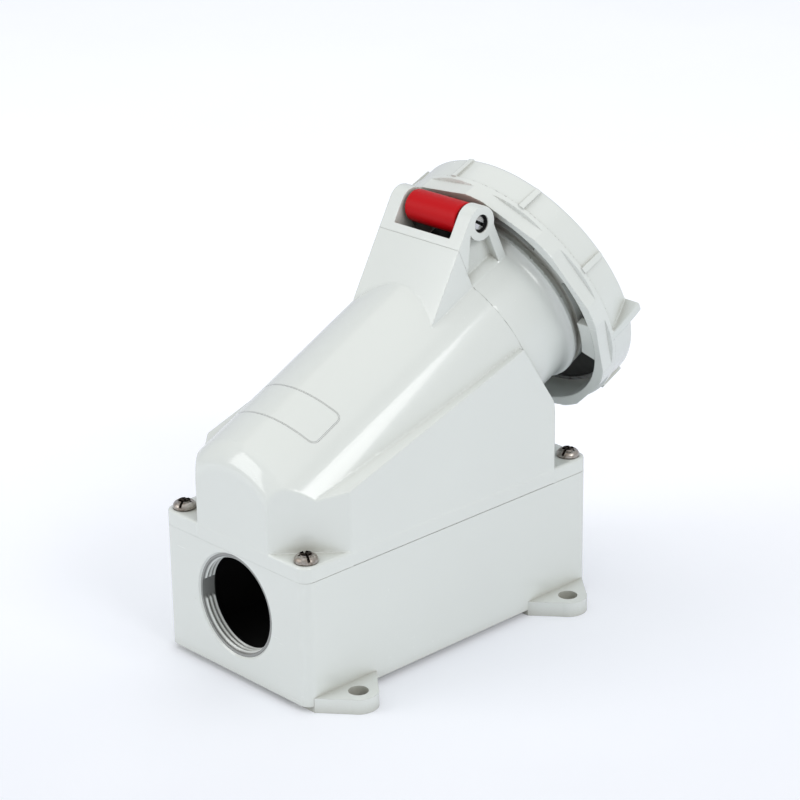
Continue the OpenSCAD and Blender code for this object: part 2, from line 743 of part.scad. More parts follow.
module hinge_spring() {
    path = spring_path();
    n = len(path);
    tangent = [for (i = [0 : n - 1]) let (d = path[min(i + 1, n - 1)] - path[max(i - 1, 0)]) d / norm(d)];
    points = [for (i = [0 : n - 1]) let (side = cross(tangent[i], [1, 0.01, 0.02]),
                  e1 = side / norm(side), e2 = cross(tangent[i], e1))
              for (k = [0 : spring_sides - 1]) let (a = 360 * k / spring_sides)
                  path[i] + spring_wire_r * (cos(a) * e1 + sin(a) * e2)];
    last = (n - 1) * spring_sides;
    faces = concat([[for (k = [0 : spring_sides - 1]) k]],
        [for (i = [0 : n - 2], k = [0 : spring_sides - 1]) let (k2 = (k + 1) % spring_sides)
            [i * spring_sides + k, (i + 1) * spring_sides + k,
             (i + 1) * spring_sides + k2, i * spring_sides + k2]],
        [[for (k = [spring_sides - 1 : -1 : 0]) last + k]]);
    color(steel) barrel_frame() polyhedron(points, faces, convexity = 10);
}

// ---- lid ----

module lid() {
    rim_w = 6.5;
    dish = 2.8;
    groove_d = 1.6;
    eye = 3;
    color(red) barrel_frame() difference() {
        union() {
            rotate_extrude() polygon([[0, lid_rear_s], [lid_flange_r, lid_rear_s],
                [lid_flange_r, lid_rear_s + lid_flange_t], [lip_r - free_gap, lid_rear_s + lid_flange_t],
                [lip_r - free_gap, lid_front_s - 1.5], [lip_r - free_gap - 1.5, lid_front_s],
                [lip_r - rim_w, lid_front_s], [lip_r - rim_w - dish, lid_front_s - dish],
                [0, lid_front_s - dish]]);
            translate([-arm_half, arm_top_u - arm_t, hinge_s + 2.3])
                cube([2 * arm_half, arm_t, lid_rear_s - hinge_s - 2]);
            at_hinge() cylinder(r = knuckle_r, h = knuckle_w, center = true);
            // stiffening web between knuckle and arm
            for (x = [-1, 1]) translate([x * (arm_half - 1.5), arm_top_u + 0.5, hinge_s + 9])
                cube([3, 2.4, 14], center = true);
        }
        at_hinge() cylinder(d = pin_d + 2 * slip, h = ears_w, center = true);
        at_hinge() cylinder(r = knuckle_r - 2, h = knuckle_w - 2 * eye, center = true);
        // slots that let the spring legs out
        translate([-spring_half - 2.5, hinge_u - knuckle_r - over, hinge_s - knuckle_r - over])
            cube([5, knuckle_r + over, 7]);
        translate([0, 0, lid_rear_s]) tube(lid_seal_r + lid_seal_w, lid_seal_r, -over, groove_d);
    }
}

module lid_seal()
    color(rubber) barrel_frame()
        tube(lid_seal_r + lid_seal_w - slip, lid_seal_r + slip, mouth_s + run_gap, lid_rear_s + 1.6);

// ---- locking ring ----

module locking_ring() {
    step_s = ring_s + ring_band_l;
    pitch = 360 / ring_places;
    lens_l = 6.6;
    flat_arc = 24.4;
    flat_r = ring_band_r * cos(flat_arc / 2);
    rib_w = 3.2;
    rib_h = 1.6;
    color(grey) barrel_frame() difference() {
        union() {
            rotate_extrude() polygon([[ring_bore_r, ring_s], [ring_band_r - 0.6, ring_s],
                [ring_band_r, ring_s + 0.6], [ring_band_r, step_s - 0.4], [ring_wall_r, step_s],
                [ring_wall_r, ring_front_s - 2.6], [ring_wall_r - 0.9, ring_front_s - 0.9],
                [ring_wall_r - 2.6, ring_front_s], [lip_r, ring_front_s],
                [lip_r, lid_rear_s + lid_flange_t + run_gap],
                [ring_bore_r, lid_rear_s + lid_flange_t + run_gap]]);
            for (k = [0 : ring_places - 1]) at_angle(ring_phase + k * pitch)
                if (k % (ring_places / 2) == 0)
                    grip_fin();
                else
                    translate([ring_wall_r - 2, -rib_w / 2, step_s - 0.3])
                        cube([2 + rib_h, rib_w, ring_front_s - step_s - 1.2]);
        }
        // seats of the claws
        for (k = [0, 180])
            ring_sector(ring_bore_r - over, ring_bore_r + claw_seat + slip,
                        claw_s - slip, claw_s + claw_l + slip, ring_phase + k, claw_arc + 0.1);
        // flats round the rear band
        for (k = [0 : ring_places - 1]) at_angle(ring_phase + k * pitch)
            translate([flat_r, -big / 8, ring_s - over]) cube([10, big / 4, lens_l + over]);
        translate([0, 0, retainer_s - retainer_t]) tube(retainer_r + slip, lip_r, -slip, retainer_t + slip);
    }
}

// Grip fin: rises from the band to its full height at the front of the ring
module grip_fin() {
    fin_t = 4.5;
    fin_h = 9;
    lean = 9.3;
    hull() {
        rotate(-1.6) translate([ring_wall_r - 1, -fin_t / 2, ring_s + 8]) cube([2.5, fin_t, 1.5]);
        rotate(-1.6 - lean) translate([ring_wall_r - 3, -fin_t / 2, ring_front_s - 2.6])
            cube([fin_h + 3, fin_t, 1.6]);
    }
}

// Claws let into the bore of the ring, which hook behind the bayonet lugs
module ring_claws()
    color(grey) barrel_frame() for (k = [0, 180])
        ring_sector(claw_r, ring_bore_r + claw_seat, claw_s, claw_s + claw_l, ring_phase + k, claw_arc);

module ring_retainer()
    color(steel) barrel_frame() difference() {
        tube(retainer_r - slip, ring_bore_r - 1.6, retainer_s - retainer_t + slip, retainer_s);
        at_angle(-90) translate([ring_bore_r, 0, retainer_s]) cube([8, 7, 8], center = true);
    }

back_box();
housing_gasket();
cover_housing();
cover_screws();
screw_seals();
socket_front();
bayonet_band();
front_seal();
front_screws();
carrier_foot();
contact_carrier();
carrier_screws();
phase_contacts();
neutral_contact();
earth_contact();
pilot_contact();
terminal_clamps();
terminal_screws();
earth_terminal();
earth_screw();
hinge_pin();
pin_clip();
hinge_spring();
lid();
lid_seal();
locking_ring();
ring_claws();
ring_retainer();
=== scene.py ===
import json
import math

import bpy
import numpy as np
from mathutils import Matrix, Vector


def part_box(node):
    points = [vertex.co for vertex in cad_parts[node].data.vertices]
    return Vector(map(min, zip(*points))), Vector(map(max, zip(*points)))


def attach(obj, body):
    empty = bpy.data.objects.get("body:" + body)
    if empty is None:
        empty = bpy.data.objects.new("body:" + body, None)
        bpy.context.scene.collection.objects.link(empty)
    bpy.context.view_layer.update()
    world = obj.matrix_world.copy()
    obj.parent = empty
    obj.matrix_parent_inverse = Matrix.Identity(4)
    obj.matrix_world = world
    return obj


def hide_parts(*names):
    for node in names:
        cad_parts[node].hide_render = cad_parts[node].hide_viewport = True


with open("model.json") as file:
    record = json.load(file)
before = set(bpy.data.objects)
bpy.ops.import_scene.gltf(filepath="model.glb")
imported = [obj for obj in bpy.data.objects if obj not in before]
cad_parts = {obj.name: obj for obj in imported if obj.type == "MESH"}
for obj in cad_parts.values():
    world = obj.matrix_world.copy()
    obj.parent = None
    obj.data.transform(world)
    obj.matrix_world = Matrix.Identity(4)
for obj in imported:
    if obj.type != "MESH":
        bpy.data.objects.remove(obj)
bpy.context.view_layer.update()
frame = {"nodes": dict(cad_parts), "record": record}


# ---------------------------------------------------------------------------
# Camera
# It stands in front of the cable entry and to its right, a little above the
# lid, with a long lens, so that upright edges stay almost parallel.
# ---------------------------------------------------------------------------
turn, rise, roll = math.radians(46.59), math.radians(21.47), math.radians(-0.88)
back = np.array([math.sin(turn) * math.cos(rise), -math.cos(turn) * math.cos(rise), math.sin(rise)])
level = np.array([math.cos(turn), math.sin(turn), 0.0])
upright = np.cross(back, level)
right = level * math.cos(roll) + upright * math.sin(roll)
stand = (0.8400, -0.7807, 0.5655)
up = upright * math.cos(roll) - level * math.sin(roll)
lens = bpy.data.cameras.new("view")
lens.lens, lens.sensor_width = 116.4, 36.0
lens.clip_start, lens.clip_end = 0.05, 30.0
camera = bpy.data.objects.new("view", lens)
camera.matrix_world = Matrix([[right[i], up[i], back[i], stand[i]] for i in range(3)] + [[0, 0, 0, 1]])
bpy.context.scene.collection.objects.link(camera)
bpy.context.scene.camera = camera


# ---------------------------------------------------------------------------
# Back box
# A deep tray moulded in pale grey plastic, with four fixing lugs and the cable
# entry. It is the CAD node itself, given a satin finish with softened edges.
# ---------------------------------------------------------------------------
class Nodes:
    """Short way to place shader nodes in a tree and to join them up."""

    def __init__(self, tree):
        self.tree = tree

    def add(self, kind, values=None, **settings):
        node = self.tree.nodes.new("ShaderNode" + kind)
        for key, value in settings.items():
            setattr(node, key, value)
        for key, value in (values or {}).items():
            if isinstance(value, bpy.types.NodeSocket):
                self.tree.links.new(value, node.inputs[key])
            else:
                node.inputs[key].default_value = value
        return node

    def math(self, operation, first, second=0.0, third=0.0):
        return self.add("Math", {0: first, 1: second, 2: third}, operation=operation).outputs[0]

    def mix(self, share, first, second, blend="MIX"):
        node = self.add("Mix", {0: share, 6: first, 7: second}, data_type="RGBA", blend_type=blend)
        return node.outputs[2]

    def span(self, value, low, high, to_low=0.0, to_high=1.0):
        node = self.add("MapRange", {0: value, 1: low, 2: high, 3: to_low, 4: to_high})
        node.interpolation_type = "SMOOTHSTEP"
        return node.outputs[0]


def effect(name, inputs, outputs):
    """New shader node group; returns its nodes, its input sockets and its output node."""
    tree = bpy.data.node_groups.new(name, "ShaderNodeTree")
    for label, kind, value in inputs:
        socket = tree.interface.new_socket(label, in_out="INPUT", socket_type="NodeSocket" + kind)
        socket.default_value = value
    for label, kind in outputs:
        tree.interface.new_socket(label, in_out="OUTPUT", socket_type="NodeSocket" + kind)
    nodes = Nodes(tree)
    return tree, nodes, (tree.nodes.new("NodeGroupInput").outputs, tree.nodes.new("NodeGroupOutput"))


# Moulded plastic: slow drifts of tone, a fine skin, a few hair scratches, dust specks and painted shade in
# the corners
moulded, m, (given, out) = effect(
    "moulded plastic",
    [("Colour", "Color", (0.7, 0.72, 0.71, 1)), ("Gloss", "Float", 0.3), ("Drift", "Float", 1.0),
     ("Scratches", "Float", 1.0), ("Dust", "Float", 1.0), ("Edge", "Float", 0.0006)],
    [("Colour", "Color"), ("Roughness", "Float"), ("Normal", "Vector")])
place = m.add("TexCoord").outputs["Object"]
slow = m.add("TexNoise", {"Vector": place, "Scale": 14.0, "Detail": 2.0, "Roughness": 0.5}).outputs[0]
grain = m.add("TexNoise", {"Vector": place, "Scale": 1400.0, "Detail": 2.0}).outputs[0]
wave = m.add("TexNoise", {"Vector": place, "Scale": 34.0, "Detail": 0.0}).outputs[0]
hairs = []
for bend, size in (((0.4, 0.7, 0.5), (26, 900, 900)), ((1.3, 0.2, 1.9), (34, 1200, 1200))):
    drawn = m.add("Mapping", {"Vector": place, "Rotation": bend, "Scale": size}).outputs[0]
    hair = m.add("TexNoise", {"Vector": drawn, "Scale": 1.0, "Detail": 1.0}).outputs[0]
    hairs.append(m.span(hair, 0.735, 0.775))
patch = m.add("TexNoise", {"Vector": place, "Scale": 30.0, "Detail": 1.0}).outputs[0]
rubbed = m.math("MULTIPLY", m.math("MAXIMUM", *hairs), m.span(patch, 0.52, 0.66))
rubbed = m.math("MULTIPLY", rubbed, given["Scratches"])
specks = m.add("TexVoronoi", {"Vector": place, "Scale": 105.0}, feature="F1")
chance = m.add("SeparateColor", {0: specks.outputs["Color"]}).outputs
speck = m.math("MULTIPLY", m.span(specks.outputs["Distance"], 0.05, 0.03), m.span(chance[0], 0.975, 0.985))
speck = m.math("MULTIPLY", speck, given["Dust"])
# Painted shade: an occlusion mask darkens the colour in corners, creases and recesses; the same input scales
# this shade and the dust specks
corners = m.add("AmbientOcclusion", {"Distance": 0.012}, samples=6).outputs["AO"]
corners = m.span(corners, 0.80, 0.30)
tone = m.math("MULTIPLY_ADD", m.math("SUBTRACT", slow, 0.5), 0.05, 1.0)
tone = m.math("MULTIPLY_ADD", m.math("SUBTRACT", tone, 1.0), given["Drift"], 1.0)
tinted = m.add("VectorMath", {0: given["Colour"], "Scale": tone}, operation="SCALE").outputs[0]
shaded_tint = m.add("VectorMath", {0: tinted, 1: (0.60, 0.57, 0.52)}, operation="MULTIPLY").outputs[0]
tinted = m.mix(m.math("MULTIPLY", corners, given["Dust"]), tinted, shaded_tint)
tinted = m.mix(m.math("MULTIPLY", rubbed, 0.16), tinted, (0.93, 0.94, 0.93, 1))
tinted = m.mix(m.math("MULTIPLY", speck, 0.6), tinted, (0.13, 0.11, 0.09, 1))
shine = m.math("MULTIPLY_ADD", m.math("SUBTRACT", slow, 0.5), 0.06, given["Gloss"])
shine = m.math("MULTIPLY_ADD", rubbed, 0.15, shine)
shine = m.math("MULTIPLY_ADD", m.math("MAXIMUM", speck, m.math("MULTIPLY", corners, 0.5)), 0.3, shine)
soft = m.add("Bevel", {"Radius": given["Edge"]}, samples=4).outputs[0]
dents = m.math("MULTIPLY_ADD", wave, 0.00010, m.math("MULTIPLY", grain, 0.0000025))
dents = m.math("MULTIPLY_ADD", rubbed, -0.000008, dents)
bent = m.add("Bump", {"Height": dents, "Normal": soft, "Strength": 0.5, "Distance": 1.0}).outputs[0]
m.tree.links.new(tinted, out.inputs["Colour"])
m.tree.links.new(shine, out.inputs["Roughness"])
m.tree.links.new(bent, out.inputs["Normal"])


def finish_of(name, group, values, colour, metallic=0.0, **shader):
    """Material whose colour, roughness and normal come from one of the groups, with its own values."""
    material = bpy.data.materials.new(name)
    material.use_nodes = True
    material.diffuse_color = (*colour, 1)
    nodes = Nodes(material.node_tree)
    surface = material.node_tree.nodes["Principled BSDF"]
    source = nodes.add("Group", node_tree=group)
    source.inputs["Colour"].default_value = (*colour, 1)
    for key, value in values.items():
        source.inputs[key].default_value = value
    for key, socket in (("Colour", "Base Color"), ("Roughness", "Roughness"), ("Normal", "Normal")):
        material.node_tree.links.new(source.outputs[key], surface.inputs[socket])
    surface.inputs["Metallic"].default_value = metallic
    for key, value in shader.items():
        surface.inputs[key.replace("_", " ")].default_value = value
    return material, nodes, source, surface


def wear(material, *names):
    """Give CAD nodes a material in place of their plain one."""
    for name in names:
        node = frame["nodes"][name]
        for place_in_list in range(len(node.material_slots)):
            node.material_slots[place_in_list].material = material


shell_colour = (0.716, 0.752, 0.728)
shell_grey = finish_of("shell grey", moulded, {"Gloss": 0.2, "Edge": 0.0004}, shell_colour,
                       Coat_Weight=0.4, Coat_Roughness=0.08)[0]

# The room inside the box is painted nearly black as shade, though its plastic is grey. It starts behind the
# entry's wall and above the floor
box_grey, n, source, surface = finish_of("box grey", moulded, {"Gloss": 0.2, "Edge": 0.0005}, shell_colour,
                                         Coat_Weight=0.4, Coat_Roughness=0.08)
box_low, box_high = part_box("back_box")
room_half_w, entry_wall, end_skin, floor_t = 0.048, 0.0082, 0.002, 0.005
room_shade_black = (0.02, 0.02, 0.02, 1)
spot = n.add("SeparateXYZ", {0: n.add("TexCoord").outputs["Object"]}).outputs
inside = n.math("MULTIPLY", n.math("LESS_THAN", n.math("ABSOLUTE", spot[0]), room_half_w),
                n.math("MULTIPLY", n.math("GREATER_THAN", spot[1], box_low.y + entry_wall),
                       n.math("LESS_THAN", spot[1], box_high.y - end_skin)))
inside = n.math("MULTIPLY", inside, n.math("GREATER_THAN", spot[2], box_low.z + floor_t))
n.tree.links.new(n.mix(inside, source.outputs["Colour"], room_shade_black), surface.inputs["Base Color"])
n.tree.links.new(n.math("MAXIMUM", source.outputs["Roughness"], n.math("MULTIPLY", inside, 0.8)),
                 surface.inputs["Roughness"])
n.tree.links.new(n.math("MULTIPLY", n.math("SUBTRACT", 1.0, inside), 0.4), surface.inputs["Coat Weight"])
wear(box_grey, "back_box")


# ---------------------------------------------------------------------------
# Thread of the cable entry
# Coarse crests cut in the entry's wall for a gland, behind a rounded lead-in.
# It is one sheet carried round the bore, moulded with the box.
# ---------------------------------------------------------------------------
def mesh_of(name, points, faces, material, body, smooth=True, normals=None):
    """Piece from points in millimetres and four-sided faces, riding on a body."""
    mesh = bpy.data.meshes.new(name)
    mesh.vertices.add(len(points))
    mesh.vertices.foreach_set("co", (np.asarray(points, float) * 0.001).astype(np.float32).ravel())
    faces = np.asarray(faces, np.int32)
    mesh.loops.add(faces.size)
    mesh.loops.foreach_set("vertex_index", faces.ravel())
    mesh.polygons.add(len(faces))
    mesh.polygons.foreach_set("loop_start", np.arange(0, faces.size, faces.shape[1], dtype=np.int32))
    mesh.update(calc_edges=True)
    mesh.validate()
    mesh.polygons.foreach_set("use_smooth", np.full(len(mesh.polygons), smooth))
    if normals is not None:
        mesh.normals_split_custom_set(normals.reshape(-1, 3))
    mesh.materials.append(material)
    piece = bpy.data.objects.new(name, mesh)
    bpy.context.scene.collection.objects.link(piece)
    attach(piece, body)
    return piece


def grid_faces(rows, columns, wrap_rows=False, wrap_columns=False):
    """Faces of a grid of points stored row by row; a wrapped side joins its last line to its first."""
    i, j = np.meshgrid(np.arange(rows - (not wrap_rows)), np.arange(columns - (not wrap_columns)),
                       indexing="ij")
    i2, j2 = (i + 1) % rows, (j + 1) % columns
    corners = [i * columns + j, i2 * columns + j, i2 * columns + j2, i * columns + j2]
    return np.stack(corners, -1).reshape(-1, 4)


entry_y, entry_z = float(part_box("cover_housing")[0][1]) * 1000, 38.4


def entry_thread():
    """Radius over angle a and depth d: the root, less the height times a rounded crest.

    The crest is half of 1 - cos of 2 pi times (d / pitch - a / 2 pi), raised to 0.7 to broaden it. The thread
    fades out at both ends and over a flat place on the left, and the back of the sheet is a tube.
    """
    root_r, height, pitch, back_r = 24.15, 1.15, 2.3, 25.6
    front, rear, flat_at, flat_half = 0.8, 8.3, math.radians(178), 0.20
    depth = np.linspace(front, rear, 76)
    a, d = np.meshgrid(np.linspace(0, 2 * np.pi, 181)[:-1], depth, indexing="ij")
    crest = (0.5 - 0.5 * np.cos(2 * np.pi * (d / pitch - a / (2 * np.pi)))) ** 0.7
    fade = np.clip((d - front) / 1.2, 0, 1) * np.clip((rear - d) / 0.6, 0, 1)
    fade = fade * np.clip((np.abs(a - flat_at) - flat_half) / 0.03, 0, 1)
    r = np.concatenate([root_r - height * crest * fade, np.full((180, 2), back_r)], 1)
    d = np.concatenate([d, np.full((180, 1), rear), np.full((180, 1), front)], 1)
    a = np.concatenate([a, a[:, :2]], 1)
    points = np.stack([r * np.cos(a), entry_y + d, entry_z + r * np.sin(a)], -1).reshape(-1, 3)
    return points, grid_faces(180, d.shape[1], True, True)


# Painted shade darkens the thread's roots and its inner end
thread_grey, n, source, surface = finish_of("thread grey", moulded, {"Gloss": 0.14, "Edge": 0.0},
                                            shell_colour, Coat_Weight=0.6, Coat_Roughness=0.05)
spot = n.add("SeparateXYZ", {0: n.add("TexCoord").outputs["Object"]}).outputs
high = n.math("SUBTRACT", spot[2], entry_z * 0.001)
out_r = n.math("SQRT", n.math("MULTIPLY_ADD", spot[0], spot[0], n.math("MULTIPLY", high, high)))
thread_shade = n.math("MAXIMUM", n.math("MULTIPLY", n.span(out_r, 0.0233, 0.0240), 0.75),
               n.span(spot[1], entry_y * 0.001 + 0.0072, entry_y * 0.001 + 0.0082))
n.tree.links.new(n.mix(thread_shade, source.outputs["Colour"], (0.10, 0.10, 0.098, 1)), surface.inputs["Base Color"])
points, faces = entry_thread()
thread = mesh_of("entry_thread", points, faces[:, ::-1], thread_grey, "housing")


# ---------------------------------------------------------------------------
# Seals
# Black rubber: a flat frame in the groove between box and cover, a ring round
# each cover screw, and the round seals at the barrel's joint and in the lid.
# ---------------------------------------------------------------------------
rubber, g, (given, out) = effect(
    "rubber", [("Colour", "Color", (0.03, 0.03, 0.03, 1)), ("Bloom", "Float", 1.0)],
    [("Colour", "Color"), ("Roughness", "Float"), ("Normal", "Vector")])
place = g.add("TexCoord").outputs["Object"]
bloom = g.add("TexNoise", {"Vector": place, "Scale": 70.0, "Detail": 5.0}).outputs[0]
pores = g.add("TexNoise", {"Vector": place, "Scale": 1800.0, "Detail": 1.0}).outputs[0]
veil = g.math("MULTIPLY", g.span(bloom, 0.45, 0.75), given["Bloom"])
bloomed = g.mix(g.math("MULTIPLY", veil, 0.25), given["Colour"], (0.16, 0.16, 0.155, 1))
g.tree.links.new(bloomed, out.inputs["Colour"])
g.tree.links.new(g.math("MULTIPLY_ADD", veil, 0.15, 0.62), out.inputs["Roughness"])
g.tree.links.new(g.add("Bump", {"Height": pores, "Distance": 0.00003, "Strength": 0.5}).outputs[0],
                 out.inputs["Normal"])
seal_rubber = finish_of("seal rubber", rubber, {}, (0.028, 0.028, 0.028))[0]
wear(seal_rubber, "housing_gasket", "screw_seals", "front_seal", "lid_seal")


# ---------------------------------------------------------------------------
# Screws and clamps inside
# Turned stainless screws and machined brass clamps, as the CAD makes them. The
# earth terminal stands on a pad in the box floor, under its own screw.
# ---------------------------------------------------------------------------
machined, g, (given, out) = effect(
    "machined metal",
    [("Colour", "Color", (0.6, 0.6, 0.6, 1)), ("Gloss", "Float", 0.25), ("Tarnish", "Float", 0.5),
     ("Edge", "Float", 0.00025)],
    [("Colour", "Color"), ("Roughness", "Float"), ("Normal", "Vector")])
place = g.add("TexCoord").outputs["Object"]
turned = g.add("Mapping", {"Vector": place, "Scale": (250, 250, 2600)}).outputs[0]
cuts = g.add("TexNoise", {"Vector": turned, "Scale": 1.0, "Detail": 3.0}).outputs[0]
stains = g.add("TexNoise", {"Vector": place, "Scale": 260.0, "Detail": 4.0, "Roughness": 0.65}).outputs[0]
dark = g.math("MULTIPLY", g.span(stains, 0.42, 0.72), given["Tarnish"])
brown = g.add("VectorMath", {0: given["Colour"], 1: (0.42, 0.33, 0.25)}, operation="MULTIPLY").outputs[0]
g.tree.links.new(g.mix(dark, given["Colour"], brown), out.inputs["Colour"])
rough = g.math("MULTIPLY_ADD", cuts, 0.16, given["Gloss"])
g.tree.links.new(g.math("MULTIPLY_ADD", dark, 0.22, rough), out.inputs["Roughness"])
soft = g.add("Bevel", {"Radius": given["Edge"]}, samples=4).outputs[0]
turning = g.add("Bump", {"Height": cuts, "Distance": 0.00002, "Strength": 0.6, "Normal": soft})
g.tree.links.new(turning.outputs[0], out.inputs["Normal"])
stainless = finish_of("stainless", machined, {"Tarnish": 0.55}, (0.56, 0.55, 0.53), 1.0)[0]
spring_steel = finish_of("spring steel", machined, {"Gloss": 0.3, "Tarnish": 0.7}, (0.42, 0.42, 0.43), 1.0)[0]
contact_brass = finish_of("contact brass", machined, {"Gloss": 0.2, "Tarnish": 0.25}, (0.74, 0.55, 0.26),
                          1.0)[0]
wear(stainless, "front_screws", "carrier_screws", "terminal_screws", "earth_screw")
wear(contact_brass, "phase_contacts", "neutral_contact", "earth_contact", "pilot_contact",
     "terminal_clamps", "earth_terminal")


# ---------------------------------------------------------------------------
# Cover
# One grey moulding: an arched back that climbs to the barrel, flat flanks with
# sloping ledges, notched front corners and the front half of the hinge bracket.
# ---------------------------------------------------------------------------
def slope(field, p, h):
    """Gradient of a field at points p by central differences over h, brought to length one."""
    g = np.stack([field(*(p + d).T) - field(*(p - d).T) for d in h * np.eye(3)], -1)
    return g / np.maximum(np.linalg.norm(g, axis=-1, keepdims=True), 1e-9)


def skin(field, low, high, step):
    """Closed surface where a distance field in millimetres is zero, with its sharp edges kept.

    The field is read on a cubic grid. Each grid edge that the surface crosses gives a point q, at the share
    f_a / (f_a - f_b) of its length, the slope n there, and a face between the four cells round it. A cell's
    own point p makes the sum of (n . (p - q))^2 over its edges least, so that it falls on the crease where
    two surfaces meet. A face is split along the diagonal that lies nearer to the surface. A corner takes the
    slope at its point, or the slope inside its own triangle where that turns away from it, as at a crease.
    """
    lines = [np.arange(a, b + step, step) for a, b in zip(low, high)]
    f = field(*np.meshgrid(*lines, indexing="ij"))
    cells = np.array(f.shape) - 1
    corner, spots, slopes, turned = [], [], [], []
    for axis in range(3):
        here, there = np.moveaxis(f, axis, 0)[:-1], np.moveaxis(f, axis, 0)[1:]
        found = np.argwhere((here < 0) != (there < 0))
        a, b = here[tuple(found.T)], there[tuple(found.T)]
        others = [k for k in range(3) if k != axis]
        at = np.empty_like(found)
        at[:, [axis] + others] = found
        spot = np.stack([lines[k][at[:, k]] for k in range(3)], -1)
        spot[:, axis] += a / (a - b) * step
        round_it = np.zeros((4, 3), int)
        round_it[:, others] = [(-1, -1), (0, -1), (0, 0), (-1, 0)]
        corner.append((at[:, None] + round_it) @ (cells[1] * cells[2], cells[2], 1))
        spots.append(spot)
        slopes.append(slope(field, spot, 0.02))
        turned.append((a < 0) ^ (axis == 1))
    corner, spot, n = np.concatenate(corner), np.concatenate(spots), np.concatenate(slopes)
    live, corner = np.unique(corner, return_inverse=True)
    corner = corner.reshape(-1, 4)
    flat = np.einsum("ij,ik->ijk", n, n)
    pull = n * (n * spot).sum(-1, keepdims=True)
    terms = np.column_stack([np.ones(len(spot)), spot, flat.reshape(-1, 9), pull])
    terms = np.stack([np.bincount(corner.ravel(), np.repeat(column, 4), len(live)) for column in terms.T], -1)
    middle = terms[:, 1:4] / terms[:, :1]
    square = terms[:, 4:13].reshape(-1, 3, 3)
    size, way = np.linalg.eigh(square)
    rest = np.einsum("ikj,ik->ij", way, terms[:, 13:] - np.einsum("ijk,ik->ij", square, middle))
    move = np.where(size > 0.08 * size[:, -1:], rest / np.maximum(size, 1e-9), 0)
    points = middle + np.einsum("ijk,ik->ij", way, move)
    home = np.stack(np.unravel_index(live, cells), -1) * step + [line[0] for line in lines]
    points = np.clip(points, home - 0.1 * step, home + 1.1 * step)
    for _ in range(2):
        away = field(*points.T)[:, None] * slope(field, points, 0.02)
        points = points - np.clip(away, -0.2 * step, 0.2 * step)
    quad = np.where(np.concatenate(turned)[:, None], corner, corner[:, ::-1])
    off = [np.abs(field(*((points[quad[:, k]] + points[quad[:, k + 2]]) / 2).T)) for k in (0, 1)]
    first = np.where((off[0] < off[1])[:, None], quad, np.roll(quad, -1, axis=1))
    faces = np.concatenate([first[:, [0, 1, 2]], first[:, [0, 2, 3]]])
    sides = points[faces]
    inwards = (0.55 * sides + 0.45 * sides.mean(1, keepdims=True)).reshape(-1, 3)
    own = slope(field, inwards, 0.05).reshape(-1, 3, 3)
    shared = slope(field, points, 0.15)[faces]
    same = (own * shared).sum(-1, keepdims=True) > 0.94
    return points, faces, np.where(same, shared, own)


def meet(a, b, r):
    """Common part of two distance fields, its edge rounded to radius r: a circle where both are above -r."""
    return np.minimum(np.maximum(a, b), -r) + np.hypot(np.maximum(a + r, 0), np.maximum(b + r, 0))


def join(a, b, r):
    """Both fields together, with a hollow fillet of radius r between them."""
    return -meet(-a, -b, r)


def slab(x, y, half_x, half_y, r):
    """Distance to an upright block with a rounded rectangle for its outline."""
    dx, dy = np.abs(x) - half_x + r, np.abs(y) - half_y + r
    return np.minimum(np.maximum(dx, dy), 0) + np.hypot(np.maximum(dx, 0), np.maximum(dy, 0)) - r


cover_low, cover_high = (np.array(c) * 1000 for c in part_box("cover_housing"))
half_w, half_l, flange_low, flange_high = 50.0, -cover_low[1], 65.2, 72.9
hinge_joint, ring_joint = frame["record"]["behaviour"]["joints"][:2]
tilt = math.atan2(-ring_joint["axis"][2], -ring_joint["axis"][1])
hinge_at = np.array(hinge_joint["pos_m"]) * 1000
axis_z, joint_s, barrel_r = 110.0, 57.8, 47.0


def along(y, z):
    """Distances along the barrel's axis and away from it, towards the hinge."""
    z = z - axis_z
    return y * math.cos(tilt) + z * math.sin(tilt), z * math.cos(tilt) - y * math.sin(tilt)


hinge_s, hinge_u = along(hinge_at[1], hinge_at[2])
lean = math.radians(36.3)


def bracket(x, s, u):
    """Hinge bracket: the wedge between its leaning front face and its rear face, with round ear tips.

    A pocket for the knuckle is cut between the ears, 3 mm behind the front face, and opens above the lower
    edge of the window.
    """
    tip_r, rear_face, root_u, half_span = 8.5, 6.8, 32, 27.1
    front_t, window_edge, pocket_half = 3.0, 11.7, 18.7
    ds, du = s - hinge_s, u - hinge_u
    face = du * math.cos(lean) - ds * math.sin(lean)
    climb = du * math.sin(lean) + ds * math.cos(lean)
    core = np.maximum(np.maximum(face - tip_r, ds - rear_face), np.minimum(climb, du))
    wedge = np.minimum(core, np.hypot(ds, du) - tip_r)
    wedge = np.maximum(wedge, root_u - u)
    ears = meet(wedge, np.abs(x) - half_span, 0.35)
    pocket = np.minimum(face - (tip_r - front_t), -(climb + window_edge))
    pocket = meet(np.abs(x) - pocket_half, pocket, 0.4)
    return meet(ears, -pocket, 0.3)


arch_rise = math.radians(26.3)


